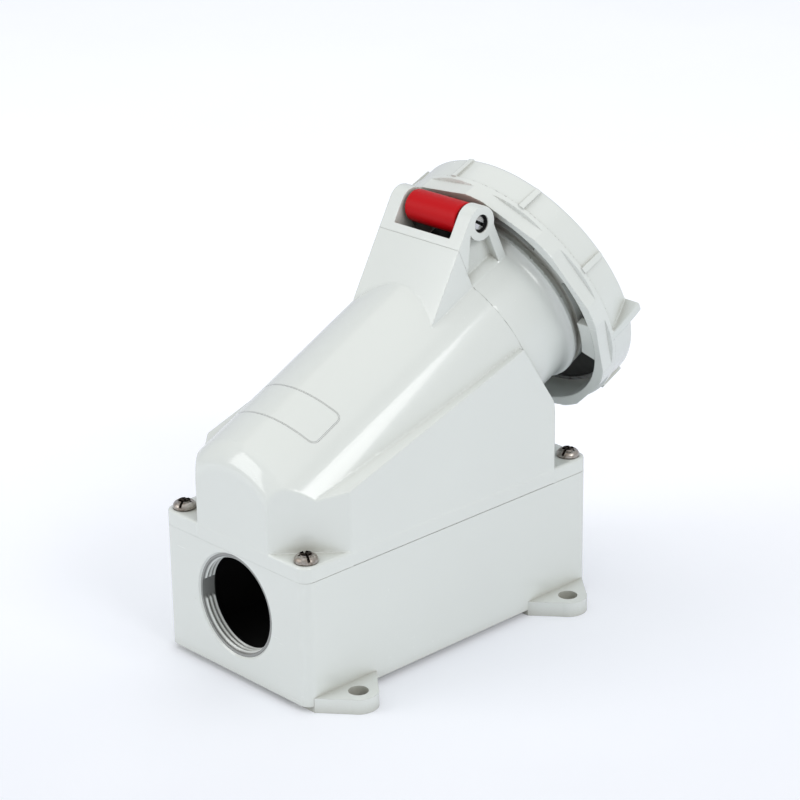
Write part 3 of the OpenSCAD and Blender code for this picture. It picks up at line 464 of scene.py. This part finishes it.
def cover_body(x, y, z):
    """Flanks under their ledges, joined to the arch, then cut by the entry face and the corner notches."""
    ledge_rise, ledge_z, rear_y, entry_edge = math.radians(18.5), 92.9, 69.7, 8.6
    apex_y, rear_z = 47.9, 107.0
    notch_x, notch_way = 25.0, (0.754, 0.657)
    side = np.abs(x)
    ledge = (z - ledge_z - math.tan(ledge_rise) * (y + half_l)) * math.cos(ledge_rise)
    apex = np.array([apex_y, ledge_z + math.tan(ledge_rise) * (apex_y + half_l)])
    rear = np.array([rear_y, rear_z])
    run = (rear - apex) / np.linalg.norm(rear - apex)
    fall = (y - apex[0]) * -run[1] + (z - apex[1]) * run[0]
    flank = meet(meet(side - half_w, ledge, 0.4), meet(fall, y - rear_y, 2.0), 0.4)
    dy, dz = y - joint_s * math.cos(tilt), z - axis_z - joint_s * math.sin(tilt)
    arch = np.hypot(x, dz * math.cos(arch_rise) - dy * math.sin(arch_rise)) - barrel_r
    arch = np.maximum(arch, along(y, z)[0] - joint_s)
    whole = join(flank, arch, 0.5)
    whole = meet(whole, -(y + half_l), entry_edge)
    notch = (side - notch_x) * notch_way[0] - (y + half_l) * notch_way[1]
    return meet(whole, notch, 0.6)


def cover(x, y, z):
    """Cover body on its flange with the bracket, hollowed to an even wall, opened where the barrel sits."""
    wall, corner_r, way_in_r, way_in_l, seat_gap = 3.5, 5.5, 42.0, 6, 0.1
    s, u = along(y, z)
    body = cover_body(x, y, z)
    outside = np.maximum(body, flange_low - z)
    outside = join(outside, meet(bracket(x, s, u), s - joint_s, 0.08), 0.2)
    rim = meet(slab(x, y, half_w, half_l, corner_r), z - flange_high, 1.1)
    outside = join(outside, np.maximum(rim, flange_low - z), 0.5)
    outside = meet(outside, -(body + wall), 0.5)
    opening = np.maximum(np.hypot(x, u) - way_in_r, joint_s - way_in_l - s)
    outside = meet(outside, -opening, 0.4)
    seat = np.maximum(np.hypot(x, u) - barrel_r - seat_gap, joint_s - s)
    return np.maximum(outside, -seat)


# The bare label panel on the arch is a fine groove in the shape of a rounded rectangle, bumped in and painted
# darker as shade. Its middle lies
# 103 mm down the arch from the barrel's joint; far and wide are the distances from there, in metres
cover_grey, n, source, surface = finish_of("cover grey", moulded, {"Gloss": 0.16, "Edge": 0.0004},
                                           shell_colour, Coat_Weight=0.5, Coat_Roughness=0.06)
half_far, half_wide, corner, below_joint, groove_half = 0.00975, 0.027, 0.003, 0.103, 0.00045
groove_shade_grey = (0.42, 0.43, 0.41, 1)
place = n.add("SeparateXYZ", {0: n.add("TexCoord").outputs["Object"]})
back_dir = (math.cos(arch_rise), math.sin(arch_rise))
far = n.math("MULTIPLY_ADD", place.outputs[2], back_dir[1], n.math("MULTIPLY", place.outputs[1], back_dir[0]))
start = joint_s * math.cos(tilt) * back_dir[0] + (axis_z + joint_s * math.sin(tilt)) * back_dir[1]
far = n.math("ABSOLUTE", n.math("SUBTRACT", far, start * 0.001 - below_joint))
wide = n.math("ABSOLUTE", place.outputs[0])
over_far = n.math("MAXIMUM", n.math("SUBTRACT", far, half_far - corner), 0.0)
over_wide = n.math("MAXIMUM", n.math("SUBTRACT", wide, half_wide - corner), 0.0)
apart = n.math("SQRT", n.math("ADD", n.math("MULTIPLY", over_far, over_far),
                              n.math("MULTIPLY", over_wide, over_wide)))
inner = n.math("MAXIMUM", n.math("SUBTRACT", far, half_far), n.math("SUBTRACT", wide, half_wide))
apart = n.math("ADD", n.math("SUBTRACT", apart, corner),
               n.math("MINIMUM", n.math("ADD", inner, corner), 0.0))
groove = n.span(n.math("ABSOLUTE", apart), groove_half, 0.0001)
groove = n.math("MULTIPLY", groove, n.span(place.outputs[2], 0.108, 0.110))
cut_in = n.add("Bump", {"Height": n.math("MULTIPLY", groove, -0.0005), "Distance": 1.0, "Strength": 1.0,
                        "Normal": source.outputs["Normal"]})
n.tree.links.new(cut_in.outputs[0], surface.inputs["Normal"])
n.tree.links.new(n.mix(n.math("MULTIPLY", groove, 0.22), source.outputs["Colour"], groove_shade_grey),
                 surface.inputs["Base Color"])

points, faces, normals = skin(cover, cover_low - 2, cover_high + 2, 1.1)
points = np.clip(points, cover_low, cover_high)
cover_piece = mesh_of("cover_shell", points, faces, cover_grey, "housing", normals=normals)
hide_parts("cover_housing")


# ---------------------------------------------------------------------------
# Barrel
# The round front moulding that the plug goes into. It carries the rear half of
# the hinge ears, a thin collar behind the locking ring, and a partition inside.
# ---------------------------------------------------------------------------
def barrel(x, y, z):
    """Tube that swells by 3.2 mm on a quarter circle to its collar, with ears with a sunk panel outside."""
    cove_s, cove_l, collar_end, mouth_s = 82.1, 5.5, 89.3, 101.5
    boss_r, panel_floor, panel_end = 8.3, 22.1, 77.3
    sink_r, sink_floor, pin_bore_r = 4.4, 24.1, 3.05
    room_r, sleeve_ring_r, sleeve_hole_r, pilot_hole_r = 43.0, 26, 8.5, 4.5
    s, u = along(y, z)
    r = np.hypot(x, u)
    swell = 3.2 * (1 - np.sqrt(1 - np.clip((s - cove_s) / cove_l, 0, 0.98) ** 2)) * (s < collar_end)
    tube = meet(meet(r - barrel_r - swell, joint_s - s, 0.08), s - mouth_s, 0.8)
    ears = meet(bracket(x, s, u), joint_s - s, 0.08)
    boss = np.hypot(s - hinge_s, u - hinge_u)
    rib = (u - 57.2) * 0.508 - (s - 64.7) * 0.862
    panel = np.maximum(np.maximum(rib, s - panel_end), np.maximum(boss_r - boss, u - hinge_u))
    panel = np.maximum(np.maximum(panel, joint_s - 1 - s), barrel_r + 0.2 - r)
    ears = meet(ears, -meet(panel, panel_floor - np.abs(x), 0.3), 0.25)
    sink = np.maximum(boss - sink_r, sink_floor - np.abs(x))
    ears = meet(ears, -sink, 0.2)
    ears = np.maximum(ears, pin_bore_r - boss)
    whole = join(tube, ears, 0.4)
    room = np.minimum(np.maximum(r - room_r, s - 66.0), np.maximum(r - room_r, 70.0 - s))
    whole = meet(whole, -room, 0.5)
    for k in range(5):
        a = math.radians(-90 + 72 * k)
        hole = np.hypot(x - sleeve_ring_r * math.cos(a), u - sleeve_ring_r * math.sin(a))
        whole = np.maximum(whole, sleeve_hole_r - hole)
    return np.maximum(whole, pilot_hole_r - r)


front_low, front_high = (np.array(c) * 1000 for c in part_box("socket_front"))
barrel_grey, n, source, surface = finish_of("barrel grey", moulded, {"Gloss": 0.22, "Edge": 0.0004},
                                            shell_colour, Coat_Weight=0.4, Coat_Roughness=0.08)


def axis_place(n):
    """Sockets of the place across, along and away from the barrel's axis, in metres."""
    spot = n.add("SeparateXYZ", {0: n.add("TexCoord").outputs["Object"]}).outputs
    high = n.math("SUBTRACT", spot[2], axis_z * 0.001)
    s = n.math("MULTIPLY_ADD", spot[1], math.cos(tilt), n.math("MULTIPLY", high, math.sin(tilt)))
    u = n.math("MULTIPLY_ADD", spot[1], -math.sin(tilt), n.math("MULTIPLY", high, math.cos(tilt)))
    return spot[0], s, u


def paint_pocket_shade(n, source, surface):
    """Painted shade: black in the pocket between the ears and in the bores at the pin's ends, masked by
    place.
    """
    pocket_shade_black = (0.012, 0.012, 0.013, 1)
    x, s, u = axis_place(n)
    off_middle = n.math("ABSOLUTE", n.math("SUBTRACT", x, 0.0006))
    mask = n.math("MULTIPLY", n.span(off_middle, 0.0186, 0.0182),
                  n.math("MULTIPLY", n.span(u, 0.0605, 0.0590), n.span(s, 0.0846, 0.083)))
    mask = n.math("MULTIPLY", mask, n.span(u, 0.0428, 0.0431))
    from_pin = {0: n.math("SUBTRACT", s, hinge_s * 0.001), 1: n.math("SUBTRACT", u, hinge_u * 0.001)}
    boss = n.add("VectorMath", {0: n.add("CombineXYZ", from_pin).outputs[0]}, operation="LENGTH")
    sunk = n.math("MULTIPLY", n.span(boss.outputs["Value"], 0.00455, 0.00445),
                  n.span(n.math("ABSOLUTE", x), 0.0267, 0.0262))
    mask = n.math("MAXIMUM", mask, sunk)
    n.tree.links.new(n.math("MAXIMUM", source.outputs["Roughness"], n.math("MULTIPLY", mask, 0.7)),
                     surface.inputs["Roughness"])
    n.tree.links.new(n.mix(mask, source.outputs["Colour"], pocket_shade_black), surface.inputs["Base Color"])


paint_pocket_shade(n, source, surface)
points, faces, normals = skin(barrel, front_low - 2, front_high + 2, 0.85)
barrel_piece = mesh_of("barrel_moulding", points, faces, barrel_grey, "housing", normals=normals)
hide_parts("socket_front")
wear(shell_grey, "bayonet_band")


# ---------------------------------------------------------------------------
# Contact carrier
# A round block of dull black plastic, screwed to the partition from behind. The
# brass sleeves of the contacts sit in its bores.
# ---------------------------------------------------------------------------
carrier_black = finish_of("carrier black", moulded, {"Gloss": 0.5, "Scratches": 0.3},
                          (0.022, 0.022, 0.023))[0]
wear(carrier_black, "carrier_foot", "contact_carrier")


# ---------------------------------------------------------------------------
# Hinge pin, its clip and spring
# The pin is stainless with a domed, slotted head sunk in the ear. A wire spring
# round it closes the lid; one leg stands on the barrel beside the knuckle.
# ---------------------------------------------------------------------------
def wire_spring():
    """Round wire carried along a path, as rings of 12 points across it.

    The path is a straight leg up from the barrel, beside the knuckle's open end, then 8 turns round the
    hinge axis, which enter the knuckle.
    """
    wire_r, coil_r, coil_x, coil_l, turns, foot_u = 0.65, 4.7, -17.9, 20, 8.25, 48.2
    a = np.linspace(0, turns * 2 * np.pi, 400)
    coil = np.stack([coil_x + coil_l * a / a[-1], hinge_u + coil_r * np.sin(a), hinge_s - coil_r * np.cos(a)],
                    -1)
    leg = np.linspace((coil_x, foot_u, hinge_s - coil_r), coil[0], 14)[:-1]
    path = np.concatenate([leg, coil])
    ahead = np.gradient(path, axis=0)
    ahead /= np.linalg.norm(ahead, axis=1, keepdims=True)
    side = np.cross(ahead, (1, 0.01, 0.02))
    side /= np.linalg.norm(side, axis=1, keepdims=True)
    other = np.cross(ahead, side)
    b = np.linspace(0, 2 * np.pi, 13)[:-1]
    ring = wire_r * (np.cos(b)[None, :, None] * side[:, None] + np.sin(b)[None, :, None] * other[:, None])
    p = (path[:, None] + ring).reshape(-1, 3)
    return from_barrel(p[:, 0], p[:, 1], p[:, 2]), grid_faces(len(path), 12, wrap_columns=True)


def from_barrel(x, u, s):
    """Points across, away from and along the barrel's axis, turned into the part's own axes."""
    return np.stack([x, s * math.cos(tilt) - u * math.sin(tilt),
                     axis_z + s * math.sin(tilt) + u * math.cos(tilt)], -1)


spring_bright = finish_of("spring bright", machined, {"Gloss": 0.25, "Tarnish": 0.2}, (0.66, 0.65, 0.63),
                          1.0)[0]
points, faces = wire_spring()
spring = mesh_of("torsion_spring", points, faces, spring_bright, "housing")
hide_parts("hinge_spring")


slot_way, slot_half, slot_floor = (0.82, 0.57), 0.75, 24.5


def pin(x, y, z):
    """Shank with a domed, slotted head at +x, whose crown is part of a ball, and a round clip at -x."""
    shank_r, shank_half, head_r, head_start, clip_r, clip_x = 2.95, 25.2, 3.7, 24.2, 4.0, 24.6
    ball_x, ball_r = 18.6, 7.7
    s, u = along(y, z)
    ds, du = s - hinge_s, u - hinge_u
    r = np.hypot(ds, du)
    shank = np.maximum(r - shank_r, np.abs(x) - shank_half)
    dome = meet(r - head_r, np.hypot(r, x - ball_x) - ball_r, 0.3)
    head = np.maximum(dome, head_start - x)
    slot = np.maximum(np.abs(ds * slot_way[0] + du * slot_way[1]) - slot_half, slot_floor - x)
    clip = np.maximum(r - clip_r, np.abs(x + clip_x) - 0.4)
    return np.minimum(np.maximum(np.minimum(shank, head), -slot), clip)


pin_centre = np.array([0.0, hinge_at[1], hinge_at[2]])
points, faces, normals = skin(pin, pin_centre - (26.4, 5, 5), pin_centre + (27.0, 5, 5), 0.35)
pin_steel, n, source, surface = finish_of("pin steel", machined,
                                          {"Gloss": 0.16, "Tarnish": 0.25, "Edge": 0.0002},
                                          (0.62, 0.63, 0.64), 1.0)
# Painted shade: the inside of the head's slot is painted black
slot_shade_black = (0.02, 0.02, 0.021, 1)
x, s, u = axis_place(n)
s, u = n.math("SUBTRACT", s, hinge_s * 0.001), n.math("SUBTRACT", u, hinge_u * 0.001)
off_slot = n.math("ABSOLUTE", n.math("MULTIPLY_ADD", s, slot_way[0], n.math("MULTIPLY", u, slot_way[1])))
in_slot = n.math("MULTIPLY", n.span(off_slot, 0.00078, 0.0007), n.span(x, 0.0243, 0.0244))
n.tree.links.new(n.mix(in_slot, source.outputs["Colour"], slot_shade_black), surface.inputs["Base Color"])
turned_pin = mesh_of("slotted_pin", points, faces, pin_steel, "housing", normals=normals)
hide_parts("hinge_pin", "pin_clip")


# ---------------------------------------------------------------------------
# Cover screws
# Stainless pan heads with a cross recess and one slot run right across. They
# stand in the corners of the flange and hold cover, gasket and box together.
# ---------------------------------------------------------------------------
screw_low, screw_high = (np.array(c) * 1000 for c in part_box("cover_screws"))


def pan_screw(x, y, z):
    """Shank and a head under a low crown, cut by a cross that narrows downwards and by a slot."""
    shank_r, head_r, crown, half_cut, cross_r = 2.95, 5.6, 0.022, 0.62, 3.6
    cross_depth, slot_depth = 2.3, 2.0
    r = np.hypot(x, y)
    shank = meet(r - shank_r, screw_low[2] - z, 0.6)
    head = meet(meet(r - head_r, z - screw_high[2] + crown * r * r, 1.9), flange_high + 0.05 - z, 0.3)
    deep = screw_high[2] - cross_depth + np.maximum(r - 1.2, 0) * 0.75 - z
    cross = np.maximum(np.minimum(np.abs(x), np.abs(y)) - half_cut, np.maximum(deep, r - cross_r))
    slot = np.maximum(np.abs(x) - half_cut, screw_high[2] - slot_depth - z)
    return np.maximum(np.minimum(shank, head), -np.minimum(cross, slot))


points, faces, normals = skin(pan_screw, np.array([-6.2, -6.2, screw_low[2] - 0.6]),
                              np.array([6.2, 6.2, screw_high[2] + 0.5]), 0.4)
places, turns = np.array([(-1, -1), (1, -1), (1, 1), (-1, 1)]), np.radians((28, 62, 15, 80))
half_head = 5.7
every_point, every_normal = [], []
for place_at, angle in zip(places * (screw_high[:2] - half_head), turns):
    spin = np.array([[math.cos(angle), math.sin(angle), 0], [-math.sin(angle), math.cos(angle), 0],
                     [0, 0, 1]])
    every_point.append(points @ spin + (*place_at, 0))
    every_normal.append(normals @ spin)

# Dirt and painted shade darken the steel wherever the recess is deep, by an occlusion mask
screw_steel, n, source, surface = finish_of("worn screw steel", machined,
                                            {"Gloss": 0.2, "Tarnish": 0.8, "Edge": 0.00015},
                                            (0.47, 0.44, 0.41), 1.0)
dirt_and_shade = (0.045, 0.028, 0.02, 1)
hidden = n.span(n.add("AmbientOcclusion", {"Distance": 0.0022}, samples=8).outputs["AO"], 0.75, 0.35)
n.tree.links.new(n.mix(hidden, source.outputs["Colour"], dirt_and_shade), surface.inputs["Base Color"])
n.tree.links.new(n.math("MULTIPLY_ADD", hidden, 0.5, source.outputs["Roughness"]),
                 surface.inputs["Roughness"])
screws = mesh_of("pan_screws", np.concatenate(every_point),
                 np.concatenate([faces + k * len(points) for k in range(4)]), screw_steel, "housing",
                 normals=np.concatenate(every_normal))
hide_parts("cover_screws")


# ---------------------------------------------------------------------------
# Lid
# Glossy red plastic: a dished disc with a rolled knuckle on an arm. It closes
# the barrel's mouth and carries the locking ring round its rim.
# ---------------------------------------------------------------------------
def lid(x, y, z):
    """Stepped disc with a dished front, joined to a flat arm with two ribs and to a hollow knuckle."""
    flange_r, raised_r, dish_r, dish_s = 61.6, 56.5, 47.7, 106.2
    back_s, step_s, front_s = 102.6, 105.7, 109.0
    knuckle_r, knuckle_half, bore_r, bore_end, pin_bore_r = 8.0, 17.0, 6.0, 14.0, 3.05
    arm_half, arm_u, arm_half_t, arm_end = 13.0, 54.6, 2.6, 104.0
    rib_x, rib_half, rib_u, rib_half_h, rib_half_l = 11.5, 1.5, 57.6, 1.2, 7
    groove_r, groove_half, groove_s = 45.5, 3.05, 104.25
    s, u = along(y, z)
    r = np.hypot(x, u)
    flange = meet(meet(r - flange_r, s - step_s, 0.5), back_s - s, 0.5)
    raised = meet(r - raised_r, s - front_s, 1.5)
    disc = np.minimum(flange, np.maximum(raised, back_s - s))
    dish = np.maximum((r - dish_r - (s - dish_s)) * 0.7071, dish_s - s)
    disc = meet(disc, -dish, 0.8)
    knob = np.hypot(s - hinge_s, u - hinge_u)
    knuckle = meet(knob - knuckle_r, np.abs(x) - knuckle_half, 0.8)
    arm = meet(meet(np.abs(x) - arm_half, np.abs(u - arm_u) - arm_half_t, 0.8),
               np.maximum(hinge_s + 2.3 - s, s - arm_end), 0.5)
    ribs = meet(np.abs(np.abs(x) - rib_x) - rib_half,
                np.maximum(np.abs(u - rib_u) - rib_half_h, np.abs(s - hinge_s - 9) - rib_half_l), 0.4)
    whole = join(join(disc, arm, 1.0), join(knuckle, ribs, 0.5), 0.8)
    bore = np.maximum(knob - bore_r, x - bore_end)
    whole = meet(whole, -np.minimum(bore, knob - pin_bore_r), 0.3)
    groove = np.maximum(np.abs(r - groove_r) - groove_half, s - groove_s)
    return np.maximum(whole, -groove)


lid_low, lid_high = (np.array(c) * 1000 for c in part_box("lid"))
lid_red = finish_of("lid red", moulded, {"Gloss": 0.38, "Drift": 0.5, "Scratches": 0.4, "Edge": 0.0},
                    (0.51, 0.002, 0.006), Specular_IOR_Level=0.14)[0]
points, faces, normals = skin(lid, lid_low - 2, lid_high + 2, 1.1)
lid_piece = mesh_of("lid_moulding", points, faces, lid_red, "lid", normals=normals)
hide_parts("lid")


def seal_and_shade_flap():
    """Flat lip of the lid seal turned round the barrel's axis: a closed profile of radius and station. The
    wide black lip is also a dark sheet put in for the shade in the gap between lid and ring.
    """
    profile = np.array([(42.6, 101.8), (60.5, 101.85), (60.9, 102.2), (60.5, 102.5), (48.5, 102.55),
                        (48.4, 104.1), (42.6, 104.1)])
    a = np.linspace(0, 2 * np.pi, 181)[:-1]
    r, s = np.broadcast_arrays(profile[:, 0], a[:, None])[0], np.broadcast_to(profile[:, 1], (180, 7))
    p = from_barrel(r * np.cos(a)[:, None], r * np.sin(a)[:, None], s)
    return p.reshape(-1, 3), grid_faces(180, 7, True, True)


points, faces = seal_and_shade_flap()
flap = mesh_of("lid_gasket", points, faces, seal_rubber, "lid", smooth=False)
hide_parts("lid_seal")


# ---------------------------------------------------------------------------
# Locking ring
# Grey plastic ring that turns on the lid. Ten flats and ribs give it grip, two
# fins take the fingers, and claws inside draw the lid on to its seal.
# ---------------------------------------------------------------------------
def ring(x, y, z):
    """Turned profile with ten flats on its rear band, eight ribs, two leaning fins and two claws inside.

    Angles run round the barrel's axis in degrees. The flats and ribs stand 36 degrees apart, and two of the
    ten ribs, half a turn apart, are left out, where the fins are.
    """
    first_flat, apart, flat_out, flat_end = 11.5, 36.0, 65.9, 93.4
    wall_r, band_r, band_s, rear_s, front_s = 67.0, 67.7, 96.5, 86.8, 111.2
    rib_half, rib_out, rib_start, rib_end = 1.6, 68.6, 95.6, 109.6
    fin_half, fin_out, fin_rise, fin_start, fin_end, fin_l = 2.2, 67.6, 8.2, 94.8, 110.4, 15.4
    inner_r, inner_end, lip_r, snap_r, snap_s, snap_half = 62.2, 106.0, 57.0, 63.45, 101.65, 0.7
    claw_half_deg, claw_r, claw_s, claw_half_l = 11.0, 53.2, 90.25, 2.25
    s, u = along(y, z)
    r, phi = np.hypot(x, u), np.degrees(np.arctan2(u, x))
    near = (phi + first_flat + apart / 2) % apart - apart / 2
    sector = np.round((phi + first_flat) / apart) % 5
    across, out = r * np.sin(np.radians(near)), r * np.cos(np.radians(near))
    wall = meet(meet(r - wall_r, s - front_s, 2.6), rear_s - s, 0.2)
    band = meet(meet(r - band_r, s - band_s, 0.2), rear_s - s, 0.3)
    body = join(wall, band, 0.3)
    body = meet(body, -np.maximum(flat_out - out, (s - flat_end + 0.45 * (flat_out - out)) * 0.91), 0.05)
    rib = meet(meet(np.abs(across) - rib_half, out - rib_out + 0.02 * (s - 96), 0.3), s - rib_end, 0.5)
    rib = np.maximum(np.maximum(rib, rib_start - s), 60 - out)
    rib = np.where(sector == 0, 9.0, rib)
    body = join(body, rib, 0.3)
    rise = np.clip((s - fin_start) / fin_l, 0, 1)
    turned = (phi + 9.9 - 9.3 * rise + 90) % 180 - 90
    blade, fin_r = r * np.sin(np.radians(turned)), r * np.cos(np.radians(turned))
    fin = meet(meet(np.abs(blade) - fin_half, fin_r - fin_out - fin_rise * rise, 0.8), s - fin_end, 0.8)
    fin = np.maximum(np.maximum(fin, fin_start - s), 60 - r)
    body = join(body, fin, 0.6)
    body = meet(body, -np.maximum(r - inner_r, s - inner_end), 0.45)
    body = meet(body, lip_r - r, 0.9)
    body = np.maximum(body, -np.maximum(r - snap_r, np.abs(s - snap_s) - snap_half))
    beside = np.abs((phi + first_flat + 90) % 180 - 90)
    claw = meet((beside - claw_half_deg) * 57 * math.pi / 180, claw_r - r, 0.5)
    claw = meet(claw, np.abs(s - claw_s) - claw_half_l, 0.5)
    return join(body, np.maximum(claw, r - 64.0), 0.6)


ring_low, ring_high = (np.array(c) * 1000 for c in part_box("locking_ring"))
# The ring's dust input is raised, so the painted corner shade darkens the steps of its flats and its crevices
# more
ring_grey = finish_of("ring grey", moulded, {"Gloss": 0.20, "Dust": 1.6, "Edge": 0.0004}, shell_colour,
                      Coat_Weight=0.4, Coat_Roughness=0.08)[0]
points, faces, normals = skin(ring, ring_low - 2, ring_high + 2, 0.72)
ring_piece = mesh_of("ring_moulding", points, faces, ring_grey, "ring", normals=normals)
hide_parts("locking_ring", "ring_claws")
wear(spring_steel, "ring_retainer")


# ---------------------------------------------------------------------------
# Floor and light
# A pale table that runs up into the background, under a wide soft ceiling light
# with a large soft panel at each side.
# ---------------------------------------------------------------------------
def table_sweep():
    """Flat floor of rows along y that rises behind the part on a quarter circle of radius 1.2 m."""
    flat = np.linspace(-3.0, 2.2, 12)
    bend = np.linspace(0, math.pi / 2, 16)[1:]
    y = np.concatenate([flat, 2.2 + 1.2 * np.sin(bend), [3.4]])
    z = np.concatenate([0 * flat, 1.2 - 1.2 * np.cos(bend), [4.0]])
    across, run = np.meshgrid(np.linspace(-4, 4, 9), np.arange(len(y)), indexing="ij")
    flat_points = np.stack([across, y[run], z[run]], -1).reshape(-1, 3)
    turned = flat_points[:, :2] @ np.array([[math.cos(turn), math.sin(turn)],
                                            [-math.sin(turn), math.cos(turn)]])
    return np.column_stack([turned, flat_points[:, 2]]), grid_faces(9, len(y))


points, faces = table_sweep()
floor_mesh = bpy.data.meshes.new("table")
floor_mesh.from_pydata(points.tolist(), [], faces.tolist())
floor_mesh.polygons.foreach_set("use_smooth", np.full(len(floor_mesh.polygons), True))
table = bpy.data.objects.new("table", floor_mesh)
bpy.context.scene.collection.objects.link(table)
paper = bpy.data.materials.new("pale table")
paper.use_nodes = True
p = Nodes(paper.node_tree)
flat_white = paper.node_tree.nodes["Principled BSDF"]
flat_white.inputs["Roughness"].default_value = 0.75
flat_white.inputs["Specular IOR Level"].default_value = 0.2
on_table = p.add("TexCoord").outputs["Object"]
fibre = p.add("TexNoise", {"Vector": on_table, "Scale": 5.0, "Detail": 3.0}).outputs[0]
p.tree.links.new(p.mix(p.span(fibre, 0.3, 0.7), (0.83, 0.855, 0.915, 1), (0.85, 0.875, 0.93, 1)),
                 flat_white.inputs["Base Color"])
# Painted light: to the camera the table glows, faintly near the part and more towards the back, though it is
# no lamp
flat_white.inputs["Emission Color"].default_value = (0.96, 0.975, 1.0, 1)
far_off = p.add("SeparateXYZ", {0: p.add("TexCoord").outputs["Object"]}).outputs
depth = p.math("MULTIPLY_ADD", far_off[1], math.cos(turn), p.math("MULTIPLY", far_off[0], -math.sin(turn)))
painted_glow = p.span(depth, -0.35, 0.45, 0.03, 0.30)
p.tree.links.new(p.math("MULTIPLY", p.add("LightPath").outputs["Is Camera Ray"], painted_glow),
                 flat_white.inputs["Emission Strength"])
floor_mesh.materials.append(paper)

world = bpy.data.worlds.new("soft room")
bpy.context.scene.world = world
world.use_nodes = True
w = Nodes(world.node_tree)
room_light = world.node_tree.nodes["Background"]
seen = w.add("LightPath").outputs
w.tree.links.new(w.mix(seen["Is Camera Ray"], (1.0, 0.995, 0.985, 1), (1, 1, 1, 1)),
                 room_light.inputs["Color"])
w.tree.links.new(w.math("MULTIPLY_ADD", seen["Is Camera Ray"], 0.39, 0.61), room_light.inputs["Strength"])


def panel(name, place, aim, size, power):
    """Large soft area light at a place, turned to face a point."""
    light = bpy.data.lights.new(name, "AREA")
    light.shape, light.size, light.size_y, light.energy = "RECTANGLE", size[0], size[1], power
    lamp = bpy.data.objects.new(name, light)
    z = np.array(place, float) - np.array(aim, float)
    z /= np.linalg.norm(z)
    x = np.cross((0, 0, 1) if abs(z[2]) < 0.99 else (0, 1, 0), z)
    x /= np.linalg.norm(x)
    y = np.cross(z, x)
    lamp.matrix_world = Matrix([[x[i], y[i], z[i], place[i]] for i in range(3)] + [[0, 0, 0, 1]])
    bpy.context.scene.collection.objects.link(lamp)
    return lamp


panel("ceiling", (-0.2, 0.1, 1.9), (0, 0, 0.1), (2.6, 2.6), 8.5)
panel("panel on the right", (1.63, -0.09, 1.155), (0.04, -0.04, 0.12), (0.86, 0.84), 10.2)
panel("left panel", (-0.9, -1.5, 0.9), (0, 0, 0.1), (1.0, 1.2), 9.4)

bpy.context.scene.view_settings.view_transform = "Standard"
